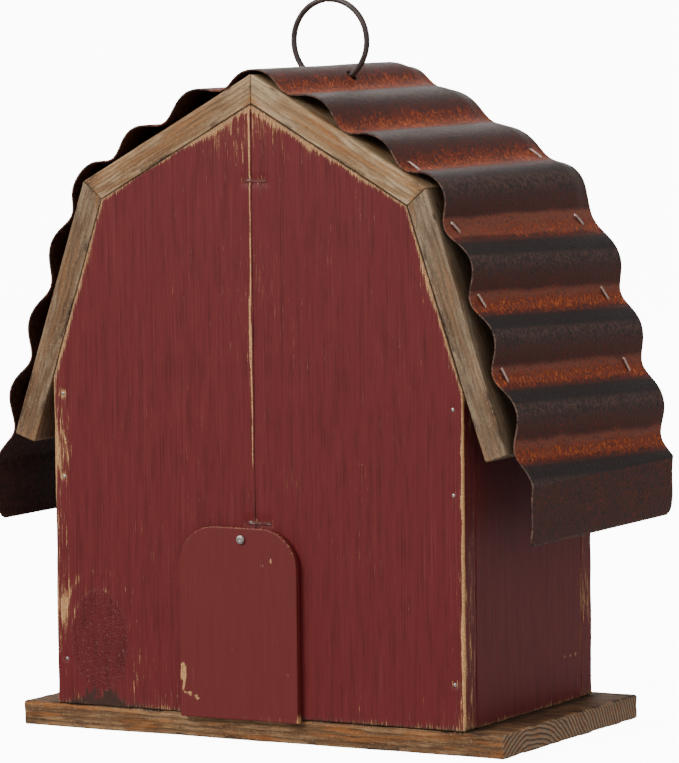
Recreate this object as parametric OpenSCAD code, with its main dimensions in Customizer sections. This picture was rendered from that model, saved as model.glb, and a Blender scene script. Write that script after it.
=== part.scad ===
// Barn-shaped birdhouse: boarded gable walls under a gambrel roof of four boards and
// one bent corrugated sheet. The side with the clean-out cover faces -Y and the
// entrance faces +Y. The origin is the centre of the base's underside.

/* [Walls] */
// Width of the house over its two side walls
wall_w = 184; // [150:1:230]
// Depth of the house over its two gable walls
wall_d = 110; // [90:1:140]
// Thickness of the wall boards
wall_t = 10; // [8:0.5:13]

/* [Base] */
// Thickness of the base board
base_t = 10; // [8:0.5:15]
// How far the base stands out past each side wall
base_side = 16.5; // [6:0.5:40]
// How far the base and the roof boards stand out past the entrance wall
front_ledge = 8; // [0:0.5:12]

/* [Roof boards] */
// Thickness of the roof boards
roof_t = 10; // [8:0.5:13]
// Height of the roof's two knees above the ground
knee_h = 219; // [180:1:265]
// How far each knee stands inside its side wall's outer face
knee_in = 15.2; // [10:0.2:26]
// Height of the roof's peak above its knees
ridge_rise = 43; // [30:1:55]
// How far each eave tip stands outside its side wall
eave_out = 18.6; // [14:0.2:28]
// Height of the knees above the eave tips
eave_drop = 101.6; // [82:0.2:124]

/* [Roof sheet] */
// Thickness of the sheet steel
sheet_t = 0.6; // [0.4:0.1:0.9]
// Height of the corrugations, from valley to crest
wave_h = 5.4; // [4:0.1:7]
// Length of one corrugation, before it is fitted to a whole number between the ridge
// and the last crest
wave_pitch = 30; // [24:0.5:38]
// How far the sheet's rim is set back from the clean-out wall
sheet_setback = 2.5; // [1:0.5:20]
// How far the sheet reaches past the front ends of the roof boards
sheet_overhang = 11.5; // [4:0.5:24]
// How far the last crest lies past the eave tips, along the slope
eave_lap = 14; // [10:0.5:22]
// Length of the plain skirt that hangs from the last crest
skirt = 24; // [10:0.5:32]

/* [Clean-out] */
// Width of the cover
cover_w = 53; // [44:0.5:66]
// Height of the cover
cover_h = 76; // [62:0.5:92]
// Thickness of the cover
cover_t = 3; // [2:0.5:4]
// Radius of the cover's two top corners
cover_r = 16; // [6:0.5:18]
// How far the cover's centre line lies beside the seam
cover_x = -6.6; // [-10:0.2:-5.4]
// Height of the cover's lower edge above the ground
cover_low = 8.8; // [6:0.2:10]
// Distance of the pivot nail below the cover's top edge
pivot_inset = 4.6; // [3.6:0.2:8]
// Distance of the pivot nail beside the cover's centre line
pivot_side = 1.9; // [-2:0.1:2]
// Diameter of the clean-out hole
cleanout_d = 40; // [28:1:42]
// Height of the clean-out hole's centre above the ground
cleanout_h = 42; // [38:1:46]

/* [Entrance] */
// Diameter of the entrance hole
entrance_d = 38; // [25:1:46]
// Height of the entrance hole's centre above the ground
entrance_h = 156; // [120:1:170]

/* [Hanging ring] */
// Outer diameter of the ring
ring_d = 35.5; // [29:0.5:44]
// Diameter of the ring's wire
wire_d = 2.4; // [2:0.1:3]
// Distance of the ring from the clean-out wall
ring_back = 64.5; // [40:0.5:90]
// Distance along the sheet from the ridge to each hole of the ring
ring_hole_out = 8.9; // [7:0.1:10]
// Angle of the gap where the two ends of the wire meet
ring_gap = 1; // [0.5:0.1:2]

/* [Fasteners] */
// Diameter of the brads' shanks
brad_d = 1.2; // [1:0.1:1.6]
// Diameter of the brads' heads
brad_head_d = 2; // [1.8:0.1:2.6]
// Length of the brads
brad_len = 24; // [16:1:28]
// Height of the lowest wall brads above the ground
brad_low = 28; // [24:0.5:36]
// Distances of the upper wall brads below the walls' shoulders
brad_drops = [40.4, 7.4];
// Diameter of the nails under the base
nail_d = 2; // [1.6:0.1:2.4]
// Diameter of the heads of the nails under the base
nail_head_d = 4.4; // [3.6:0.1:5]
// Length of the nails under the base
nail_len = 26; // [22:1:32]
// Distance of the inner base nails from the seam
base_nail_inner = 32; // [24:1:40]
// Distance of the outer base nails inside the side walls' outer faces
base_nail_outer = 18; // [14:1:24]
// Diameter of the pivot nail's shank
pivot_d = 1.8; // [1.4:0.1:2.2]
// Diameter of the pivot nail's head
pivot_head_d = 3.6; // [3:0.1:4.4]
// Length of a staple over its legs
staple_w = 11.2; // [9:0.2:12.6]
// Length of a staple's legs
staple_leg = 8; // [6:0.5:9]
// Distance of the lower seam staples above the cover's top edge
staple_over_cover = 1.8; // [1.4:0.1:6]
// Distance of the upper seam staples below the walls' peak
staple_below_peak = 30; // [22:0.5:40]
// Length of the narrow staples that hold the roof sheet
sheet_staple_w = 7; // [6:0.2:9]
// Turn of the roof sheet's staples in each valley, from the slope's direction
staple_turn = [-10, 45, 30, 20];

/* [Clearances] */
// Gap between the clean-out cover and the wall behind it, and under the nail's head
cover_gap = 0.3; // [0.3:0.05:0.6]
// Radial play of the cover on its nail
pivot_play = 0.06; // [0.03:0.01:0.1]
// Room around the ring's wire, in the sheet's holes and in the ridge notch
ring_play = 1.1; // [1:0.1:1.6]
// Radial room around driven nails and staples
drive_play = 0.02; // [0.01:0.01:0.05]
// Gap between the sheet's valleys and the roof boards
sheet_play = 0.1; // [0.05:0.05:0.3]

/* [Hidden] */
$fn = 64;

red_paint = [0.44, 0.18, 0.17];
raw_wood = [0.62, 0.48, 0.36];
rusty_steel = [0.33, 0.23, 0.20];
bright_steel = [0.62, 0.62, 0.62];

// Outer roof lines, as [x, z] points of the +X half
half_w = wall_w / 2;
knee = [half_w - knee_in, knee_h];
peak = [0, knee_h + ridge_rise];
eave = [half_w + eave_out, knee_h - eave_drop];
upper_slope = atan2(peak[1] - knee[1], knee[0]);
lower_slope = atan2(knee[1] - eave[1], eave[0] - knee[0]);
knee_turn = lower_slope - upper_slope;
knee_bisector = (upper_slope + lower_slope) / 2;

// Planes across the depth
back_y = -(wall_d + front_ledge) / 2;
front_y = back_y + wall_d;
deck_y = front_y + front_ledge;
sheet_back_y = back_y + sheet_setback;
sheet_front_y = deck_y + sheet_overhang;
ring_y = back_y + ring_back;

// Clean-out cover and its nail
cover_back_y = back_y - cover_gap;
cover_face_y = cover_back_y - cover_t;
cover_top = cover_low + cover_h;
pivot_x = cover_x + pivot_side;
pivot_z = cover_top - pivot_inset;
pivot_head_t = 1;
pivot_bite = wall_t - 1;

// Proportions of the fasteners
head_t = 0.8;
nail_head_t = 1.2;
crown_t = 0.6;
crown_w = 1.3;
brad_inset = wall_t * 0.45;

// The walls' shoulders and peak under the roof boards, and what is nailed from them
inner_knee = roof_knee(-roof_t);
shoulder_h = inner_knee[1] - (half_w - inner_knee[0]) * tan(lower_slope);
inner_peak_h = roof_peak(-roof_t)[1];
brad_heights = concat(brad_low, [for (d = brad_drops) shoulder_h - d]);
seam_staple_h = [cover_top + staple_over_cover, inner_peak_h - staple_below_peak];
base_nail_x = [base_nail_inner, half_w - base_nail_outer];

// Staple places on the roof: rows near the two ends of the roof boards, and the first
// corrugation that takes them
staple_rows = [back_y + 10, deck_y - 4.5];
first_valley = 2;

// The sheet's valleys follow the outer roof lines, with round bends at peak and knees
peak_bend = 20;
knee_bend = 20;
lift = sheet_play + sheet_t / 2;
peak_run = peak_bend * upper_slope * PI / 180;
knee_run = knee_bend * knee_turn * PI / 180;
peak_tangent = peak_bend * tan(upper_slope);
knee_tangent = knee_bend * tan(knee_turn / 2);
upper_run = norm(roof_knee(lift) - roof_peak(lift)) - peak_tangent - knee_tangent;
lower_run = norm(roof_eave(lift) - roof_knee(lift)) - knee_tangent;
knee_start = peak_run + upper_run;
knee_end = knee_start + knee_run;
eave_run = knee_end + lower_run;

// A whole number of corrugations runs from the ridge to the last crest
waves = round((eave_run + eave_lap) / wave_pitch);
pitch = (eave_run + eave_lap) / waves;
steps_per_wave = 14;
peak_centre = roof_peak(lift) - [0, peak_bend / cos(upper_slope)];
knee_centre = roof_knee(lift)
    - knee_bend / cos(knee_turn / 2) * [sin(knee_bisector), cos(knee_bisector)];

// Roof corners moved outward by d
function roof_peak(d) = [0, peak[1] + d / cos(upper_slope)];
function roof_knee(d) =
    knee + d / cos(knee_turn / 2) * [sin(knee_bisector), cos(knee_bisector)];
function roof_eave(d) = eave + d * [sin(lower_slope), cos(lower_slope)];

// Valley line of the sheet: the slope's angle and the [x, z] point at a distance s
// from the ridge
function slope_at(s) =
    s < peak_run ? s / peak_bend * 180 / PI
    : s < knee_start ? upper_slope
    : s < knee_end ? upper_slope + (s - knee_start) / knee_bend * 180 / PI
    : lower_slope;
function along(a) = [cos(a), -sin(a)];
function out(a) = [sin(a), cos(a)];
function valley_point(s) =
    s < peak_run ? peak_centre + peak_bend * out(slope_at(s))
    : s < knee_start ? peak_centre + peak_bend * out(upper_slope)
        + (s - peak_run) * along(upper_slope)
    : s < knee_end ? knee_centre + knee_bend * out(slope_at(s))
    : knee_centre + knee_bend * out(lower_slope) + (s - knee_end) * along(lower_slope);

// Height of the boards' corner over the valley line's round bend at the knee,
// with room for the straight steps that the bend is drawn in
function knee_rise(s) =
    let (a = min(slope_at(s) - upper_slope, lower_slope - slope_at(s)))
    a > 0 ? knee_bend * (1 / cos(a) - 1) + pitch / steps_per_wave * sin(a) : 0;

// The wave on the valley line, clear of the knee's corner, and its own slope
function wave_point(s) =
    valley_point(s)
    + max(wave_h * (1 + cos(360 * s / pitch)) / 2, knee_rise(s)) * out(slope_at(s));
function wave_slope(s) =
    let (d = wave_point(s + 0.05) - wave_point(s - 0.05)) atan2(-d[1], d[0]);
function sheet_side(d) = [
    for (i = [0 : waves * steps_per_wave])
        let (s = i * pitch / steps_per_wave) wave_point(s) + d * out(wave_slope(s)),
    wave_point(waves * pitch) + d * [1, 0] - [0, skirt]
];
function mirrored(points) =
    [for (i = [len(points) - 1 : -1 : 1]) [-points[i][0], points[i][1]]];
function backward(points) = [for (i = [len(points) - 1 : -1 : 0]) points[i]];

// The ring passes through the ridge crest at a hole on each side
hole = wave_point(ring_hole_out);
ring_r = (ring_d - wire_d) / 2;
ring_z = hole[1] + sqrt(ring_r * ring_r - hole[0] * hole[0]);
ring_dip = ring_r + wire_d / 2 - (ring_z - hole[1]);
ring_gap_turn = 97;

// Extrudes an [x, z] outline from y0 to y1
module along_y(y0, y1) {
    translate([0, y1, 0]) rotate([90, 0, 0]) linear_extrude(y1 - y0) children();
}

// Everything under the roof boards and above the base, in [x, z]
module under_roof() {
    polygon([
        [-half_w, base_t], [half_w, base_t], [half_w, shoulder_h], inner_knee,
        [0, inner_peak_h], [-inner_knee[0], inner_knee[1]], [-half_w, shoulder_h]
    ]);
}

// A brad driven towards +Z with its head's top at the origin; play makes it a cutter
module brad(play = 0) {
    lead = play > 0 ? 1 : 0;
    translate([0, 0, -lead]) cylinder(d = brad_head_d + 2 * play, h = head_t + lead);
    cylinder(d = brad_d + 2 * play, h = brad_len);
}

// A staple driven towards +Z, its crown along X with its top at the origin
module staple(width, leg, play = 0) {
    lead = play > 0 ? 1 : 0;
    w = width + 2 * play;
    b = crown_w + 2 * play;
    translate([-w / 2, -b / 2, -lead]) cube([w, b, crown_t + lead]);
    for (side = [-1, 1])
        translate([side * (width - crown_t) / 2 - crown_t / 2 - play, -b / 2, 0])
            cube([crown_t + 2 * play, b, leg]);
}

// Brads through a gable wall into the ends of the side walls
module wall_brads(face_y, inward, play = 0) {
    for (side = [-1, 1], z = brad_heights)
        translate([side * (half_w - brad_inset), face_y, z])
            rotate([inward * -90, 0, 0]) brad(play);
}

// Staples across a gable wall's seam
module seam_staples(face_y, inward, play = 0) {
    for (z = seam_staple_h)
        translate([1.4, face_y, z]) rotate([inward * -90, 0, 0])
            staple(staple_w, staple_leg, play);
}

// Nails up through the base into the gable walls
module nails_under_base(play = 0) {
    lead = play > 0 ? 1 : 0;
    for (side = [-1, 1], x = base_nail_x, y = [back_y + wall_t / 2, front_y - wall_t / 2])
        translate([side * x, y, 0]) {
            translate([0, 0, -lead]) cylinder(d = nail_head_d + 2 * play, h = nail_head_t + lead);
            cylinder(d = nail_d + 2 * play, h = nail_len);
        }
}

// Brads through the roof boards into the edges of the gable walls
module deck_brads(play = 0) {
    for (side = [0, 1], y = [back_y + wall_t / 2, front_y - wall_t / 2])
        mirror([side, 0, 0]) {
            for (share = [0.3, 0.78])
                let (p = roof_peak(0) + share * (knee - peak))
                translate([p[0], y, p[1]]) rotate([0, upper_slope + 180, 0]) brad(play);
            for (share = [0.16, 0.5])
                let (p = knee + share * (eave - knee))
                translate([p[0], y, p[1]]) rotate([0, lower_slope + 180, 0]) brad(play);
        }
}

// Staples through the sheet's valleys into the roof boards
module sheet_staples(play = 0) {
    reach = sheet_staple_w / 2;
    bridge = wave_h * (1 - cos(360 * reach / pitch)) / 2 + sheet_t / 2 + crown_t;
    for (side = [0, 1], y = staple_rows, k = [first_valley : waves - 1])
        let (
            s = (k + 0.5) * pitch,
            p = valley_point(s) + (bridge + knee_rise(s)) * out(slope_at(s))
        )
        if (s < eave_run - sheet_staple_w)
            mirror([side, 0, 0]) translate([p[0], y, p[1]])
                rotate([0, slope_at(s) + 180, 0])
                rotate([0, 0, staple_turn[(k - first_valley) % len(staple_turn)]])
                staple(sheet_staple_w, staple_leg, play);
}

// The pivot nail, driven towards +Y
module pivot_nail(play = 0) {
    shank = cover_gap + cover_t + cover_gap + pivot_bite;
    translate([pivot_x, cover_face_y - cover_gap, pivot_z]) rotate([-90, 0, 0]) {
        translate([0, 0, -pivot_head_t]) cylinder(d = pivot_head_d, h = pivot_head_t);
        cylinder(d = pivot_d + 2 * play, h = shank);
    }
}

// Room for the ring's lower arc to swing under the sheet's ridge
module ring_notch() {
    swing = ring_dip + ring_play;
    translate([-hole[0], ring_y - swing, hole[1] - swing])
        cube([2 * hole[0], 2 * swing, 2 * swing]);
}

// Half of a gable wall, on the side of x that side names, with one round hole
module gable_board(side, y0, y1, hole_at, hole_d) {
    difference() {
        along_y(y0, y1) intersection() {
            under_roof();
            translate([side > 0 ? 0 : -half_w, 0]) square([half_w, peak[1]]);
        }
        translate([hole_at[0], y0 - 1, hole_at[1]]) rotate([-90, 0, 0])
            cylinder(d = hole_d, h = y1 - y0 + 2);
        seam_staples(back_y, 1, drive_play);
        seam_staples(front_y, -1, drive_play);
        wall_brads(back_y, 1, drive_play);
        wall_brads(front_y, -1, drive_play);
        nails_under_base(drive_play);
        deck_brads(drive_play);
        pivot_nail(drive_play);
    }
}

module back_board(side) {
    color(red_paint)
        gable_board(side, back_y, back_y + wall_t, [cover_x, cleanout_h], cleanout_d);
}

module front_board(side) {
    color(red_paint)
        gable_board(side, front_y - wall_t, front_y, [0, entrance_h], entrance_d);
}

module back_board_left() { back_board(-1); }
module back_board_right() { back_board(1); }
module front_board_left() { front_board(-1); }
module front_board_right() { front_board(1); }

module side_board(side) {
    color(red_paint) difference() {
        along_y(back_y + wall_t, front_y - wall_t) intersection() {
            under_roof();
            translate([side > 0 ? half_w - wall_t : -half_w, 0]) square([wall_t, peak[1]]);
        }
        wall_brads(back_y, 1, drive_play);
        wall_brads(front_y, -1, drive_play);
    }
}

module side_board_left() { side_board(-1); }
module side_board_right() { side_board(1); }

module base_board() {
    color(raw_wood) difference() {
        translate([-half_w - base_side, back_y, 0])
            cube([wall_w + 2 * base_side, deck_y - back_y, base_t]);
        nails_under_base(drive_play);
    }
}

// A roof board on the +X side with mitred ends, between two stations of the roof line
module roof_board(outline) {
    color(raw_wood) difference() {
        along_y(back_y, deck_y) polygon(outline);
        deck_brads(drive_play);
        sheet_staples(drive_play);
        ring_notch();
    }
}

module roof_board_upper_right() {
    roof_board([roof_peak(0), roof_knee(0), roof_knee(-roof_t), roof_peak(-roof_t)]);
}

module roof_board_lower_right() {
    roof_board([roof_knee(0), roof_eave(0), roof_eave(-roof_t), roof_knee(-roof_t)]);
}

module roof_board_upper_left() { mirror([1, 0, 0]) roof_board_upper_right(); }
module roof_board_lower_left() { mirror([1, 0, 0]) roof_board_lower_right(); }

module roof_sheet() {
    outer = sheet_side(sheet_t / 2);
    inner = sheet_side(-sheet_t / 2);
    color(rusty_steel) difference() {
        along_y(sheet_back_y, sheet_front_y)
            polygon(concat(mirrored(outer), outer, backward(inner), backward(mirrored(inner))));
        sheet_staples(drive_play);
        for (side = [0, 1])
            mirror([side, 0, 0]) translate([hole[0], ring_y, hole[1]])
                rotate([0, 90 - asin(hole[0] / ring_r), 0])
                cylinder(r = wire_d / 2 + ring_play, h = 8, center = true);
    }
}

module hanging_ring() {
    color(rusty_steel) translate([0, ring_y, ring_z]) rotate([90, 0, 0])
        rotate([0, 0, ring_gap_turn + ring_gap / 2])
        rotate_extrude(angle = 360 - ring_gap) translate([ring_r, 0]) circle(d = wire_d);
}

module cleanout_cover() {
    color(red_paint) difference() {
        along_y(cover_face_y, cover_back_y) translate([cover_x, 0]) {
            translate([-cover_w / 2, cover_low]) square([cover_w, cover_h - cover_r]);
            translate([cover_r - cover_w / 2, cover_low])
                square([cover_w - 2 * cover_r, cover_h]);
            for (side = [-1, 1])
                translate([side * (cover_w / 2 - cover_r), cover_top - cover_r])
                    circle(r = cover_r);
        }
        translate([pivot_x, cover_face_y - 1, pivot_z]) rotate([-90, 0, 0])
            cylinder(d = pivot_d + 2 * pivot_play, h = cover_t + 2);
    }
}

module cover_pivot_nail() { color(bright_steel) pivot_nail(); }
module back_seam_staples() { color(bright_steel) seam_staples(back_y, 1); }
module front_seam_staples() { color(bright_steel) seam_staples(front_y, -1); }
module back_wall_brads() { color(bright_steel) wall_brads(back_y, 1); }
module front_wall_brads() { color(bright_steel) wall_brads(front_y, -1); }
module base_nails() { color(bright_steel) nails_under_base(); }
module roof_board_brads() { color(bright_steel) deck_brads(); }
module roof_sheet_staples() { color(bright_steel) sheet_staples(); }

base_board();
back_board_left();
back_board_right();
front_board_left();
front_board_right();
side_board_left();
side_board_right();
roof_board_upper_left();
roof_board_upper_right();
roof_board_lower_left();
roof_board_lower_right();
roof_sheet();
hanging_ring();
cleanout_cover();
cover_pivot_nail();
back_seam_staples();
front_seam_staples();
back_wall_brads();
front_wall_brads();
base_nails();
roof_board_brads();
roof_sheet_staples();
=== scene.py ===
"""Looks of a barn-shaped birdhouse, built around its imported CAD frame.

Lengths inside the classes are millimetres; meshes are made in metres.
"""

import logging
import math
from dataclasses import dataclass, field
from enum import Enum
from itertools import product
from typing import Callable, Optional, Sequence

import bpy
import bmesh
import numpy as np
from mathutils import Matrix, Vector


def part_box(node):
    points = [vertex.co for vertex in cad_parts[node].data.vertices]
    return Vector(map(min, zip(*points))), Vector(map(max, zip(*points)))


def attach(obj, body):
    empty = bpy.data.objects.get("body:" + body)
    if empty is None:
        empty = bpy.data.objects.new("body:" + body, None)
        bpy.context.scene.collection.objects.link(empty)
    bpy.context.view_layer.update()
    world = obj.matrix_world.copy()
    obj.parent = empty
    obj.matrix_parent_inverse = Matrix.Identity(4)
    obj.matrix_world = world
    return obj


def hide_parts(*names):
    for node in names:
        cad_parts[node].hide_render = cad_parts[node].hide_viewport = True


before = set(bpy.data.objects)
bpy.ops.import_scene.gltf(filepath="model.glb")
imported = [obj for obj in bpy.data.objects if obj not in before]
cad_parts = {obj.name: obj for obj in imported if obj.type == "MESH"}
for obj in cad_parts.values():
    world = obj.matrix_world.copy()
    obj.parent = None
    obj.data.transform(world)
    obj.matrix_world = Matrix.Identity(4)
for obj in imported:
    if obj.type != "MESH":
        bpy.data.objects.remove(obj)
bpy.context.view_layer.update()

Array = np.ndarray
Mesh = tuple[np.ndarray, list[list[int]]]
Material = bpy.types.Material
Piece = bpy.types.Object
Socket = bpy.types.NodeSocket

LOG = logging.getLogger("birdhouse")
MM = 0.001
X_AXIS, Y_AXIS, Z_AXIS = np.eye(3)
# Distances from an edge where a board has rows of points
EDGE_CLUSTER = np.array([0.0, 0.2, 0.5, 0.9, 1.5, 2.3])


class Body(str, Enum):
    """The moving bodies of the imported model."""

    HOUSE = "house"
    COVER = "cover"
    RING = "ring"


class Slot(str, Enum):
    """Material slots of the record."""

    RED_PAINT = "red_painted_wood"
    BARE_WOOD = "weathered_wood"
    SHEET = "rusted_sheet"
    RING = "ring_steel"
    FIXINGS = "bright_fixings"


# ---------------------------------------------------------------- small helpers


def corner(node: str, high: bool) -> Array:
    """One corner of a CAD node's box.

    Args:
        node: name of the CAD node.
        high: True for the highest corner, False for the lowest.

    Returns:
        The corner as x, y, z in millimetres.
    """
    return np.array(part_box(node)[1 if high else 0]) / MM


def vec(*parts: float) -> Array:
    """Array of the given numbers."""
    return np.array(parts, float)


def lattice(cells: Array, seed: int) -> Array:
    """Repeatable random values on an integer lattice.

    Args:
        cells: integer lattice points, one per row.
        seed: number that picks the pattern.

    Returns:
        One value from -1 to 1 for each row.
    """
    key = cells.astype(np.int64).astype(np.uint32)
    with np.errstate(over="ignore"):
        h = key[:, 0] * np.uint32(374761393) + key[:, 1] * np.uint32(668265263)
        h = h + key[:, 2] * np.uint32(2246822519) + np.uint32(seed * 97 + 13)
        h = (h ^ (h >> np.uint32(15))) * np.uint32(2246822519)
        h = (h ^ (h >> np.uint32(13))) * np.uint32(3266489917)
    return (h ^ (h >> np.uint32(16))).astype(np.float64) / 2147483648.0 - 1.0


def noise(points: Array, size: Sequence[float], seed: int, octaves: int = 2) -> Array:
    """Smooth value noise.

    Args:
        points: positions in millimetres, one per row.
        size: length of one lattice cell along each axis, in millimetres.
        seed: number that picks the pattern.
        octaves: how many layers are added, each half as long and half as high.

    Returns:
        One value for each row, mostly from -1 to 1.
    """
    total = np.zeros(len(points))
    height, weight = 1.0, 0.0
    for octave in range(octaves):
        p = points / np.asarray(size) * 2.0**octave
        base = np.floor(p)
        t = p - base
        t = t * t * (3.0 - 2.0 * t)
        layer = np.zeros(len(points))
        for step in product((0, 1), repeat=3):
            share = np.where(step, t, 1 - t).prod(1)
            layer += share * lattice(base + step, seed + 31 * octave)
        total += height * layer
        weight += height
        height *= 0.5
    return total / weight


def smooth(value: Array, start: float, end: float) -> Array:
    """Smooth step from 0 at start to 1 at end.

    Args:
        value: the numbers to map.
        start: where the step begins.
        end: where it ends; less than start gives a falling step.

    Returns:
        Values from 0 to 1.
    """
    t = np.clip((value - start) / (end - start), 0.0, 1.0)
    return t * t * (3.0 - 2.0 * t)


def tone(code: str) -> tuple[float, float, float, float]:
    """Linear colour of a six-digit screen colour.

    Args:
        code: two hexadecimal digits each of red, green and blue.

    Returns:
        Red, green, blue and alpha for a shader socket.
    """
    parts = [int(code[i : i + 2], 16) / 255.0 for i in (0, 2, 4)]
    linear = [p / 12.92 if p <= 0.04045 else ((p + 0.055) / 1.055) ** 2.4 for p in parts]
    return (linear[0], linear[1], linear[2], 1.0)


def grid_quads(rows: int, columns: int) -> tuple[Array, Array]:
    """Quads between neighbouring points of a grid.

    Args:
        rows: how many rows of points.
        columns: how many points in each row.

    Returns:
        The points' numbers on the grid, and the quads.
    """
    index = np.arange(rows * columns).reshape(rows, columns)
    quads = np.stack([index[:-1, :-1], index[:-1, 1:], index[1:, 1:], index[1:, :-1]], -1)
    return index, quads.reshape(-1, 4)


def tube(rings: int, around: int) -> list[list[int]]:
    """Faces of a closed tube.

    Args:
        rings: how many rings of points.
        around: how many points in each ring.

    Returns:
        Its sides and its two ends.
    """
    index = np.arange(rings * around).reshape(rings, around)
    turned = np.roll(index, -1, axis=1)
    sides = np.stack([index[:-1], turned[:-1], turned[1:], index[1:]], -1).reshape(-1, 4)
    return sides.tolist() + [index[0][::-1].tolist(), index[-1].tolist()]


def add_to_scene(name: str, data: bpy.types.ID) -> Piece:
    """Makes an object and links it to the scene.

    Args:
        name: name of the object.
        data: its mesh, light or camera.

    Returns:
        The new object.
    """
    made = bpy.data.objects.new(name, data)
    bpy.context.scene.collection.objects.link(made)
    return made


def make_piece(name: str, points: Array, faces: Sequence[Sequence[int]] | Array,
        facts: Optional[dict[str, Array]] = None, crease: float = 40.0, weld: float = 0.002) -> Piece:
    """Makes a closed, smooth-shaded mesh object.

    Args:
        name: name of the piece.
        points: vertices in millimetres, one per row.
        faces: vertex numbers of each face.
        facts: extra values for each vertex, as floats or as vectors.
        crease: edges that turn by more than this many degrees stay sharp.
        weld: vertices nearer than this many millimetres become one.

    Returns:
        The new object, linked to the scene.
    """
    mesh = bpy.data.meshes.new(name)
    mesh.from_pydata((points * MM).tolist(), [], [list(map(int, f)) for f in faces])
    for key, values in (facts or {}).items():
        kind = "FLOAT_VECTOR" if values.ndim == 2 else "FLOAT"
        layer = mesh.attributes.new(key, kind, "POINT")
        layer.data.foreach_set("vector" if values.ndim == 2 else "value", values.ravel())
    work = bmesh.new()
    work.from_mesh(mesh)
    bmesh.ops.remove_doubles(work, verts=work.verts, dist=weld * MM)
    bmesh.ops.dissolve_degenerate(work, edges=work.edges, dist=weld * MM * 0.5)
    bmesh.ops.recalc_face_normals(work, faces=work.faces)
    work.to_mesh(mesh)
    work.free()
    mesh.shade_smooth()
    mesh.set_sharp_from_angle(angle=math.radians(crease))
    return add_to_scene(name, mesh)


def place(piece: Piece, material: Material, body: Body, slot: Slot, node: str) -> Piece:
    """Dresses a piece and puts it on its body in place of a CAD node.

    Args:
        piece: the finished object.
        material: its finish.
        body: the body it moves with.
        slot: the record's slot of that finish; not used.
        node: the CAD node it stands for.

    Returns:
        The same object.
    """
    piece.data.materials.clear()
    piece.data.materials.append(material)
    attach(piece, body.value)
    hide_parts(node)
    LOG.info("%s: %d vertices on %s", piece.name, len(piece.data.vertices), body.value)
    return piece


# ------------------------------------------------------------------- finishes


class Level:
    """A number or colour in a material's node tree, open to plain sums."""

    def __init__(self, recipe: "Recipe", socket: Socket) -> None:
        """Wraps a socket of that recipe's tree."""
        self.recipe, self.socket = recipe, socket

    def __add__(self, other: "Level | float") -> "Level":
        """Sum with another."""
        return self.recipe.math("ADD", self, other)

    def __sub__(self, other: "Level | float") -> "Level":
        """Difference from another."""
        return self.recipe.math("SUBTRACT", self, other)

    def __rsub__(self, other: float) -> "Level":
        """Difference of a number from it."""
        return self.recipe.math("SUBTRACT", other, self)

    def __mul__(self, other: "Level | float") -> "Level":
        """Product with another."""
        return self.recipe.math("MULTIPLY", self, other)

    def __truediv__(self, other: "Level | float") -> "Level":
        """Ratio to another."""
        return self.recipe.math("DIVIDE", self, other)


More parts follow.
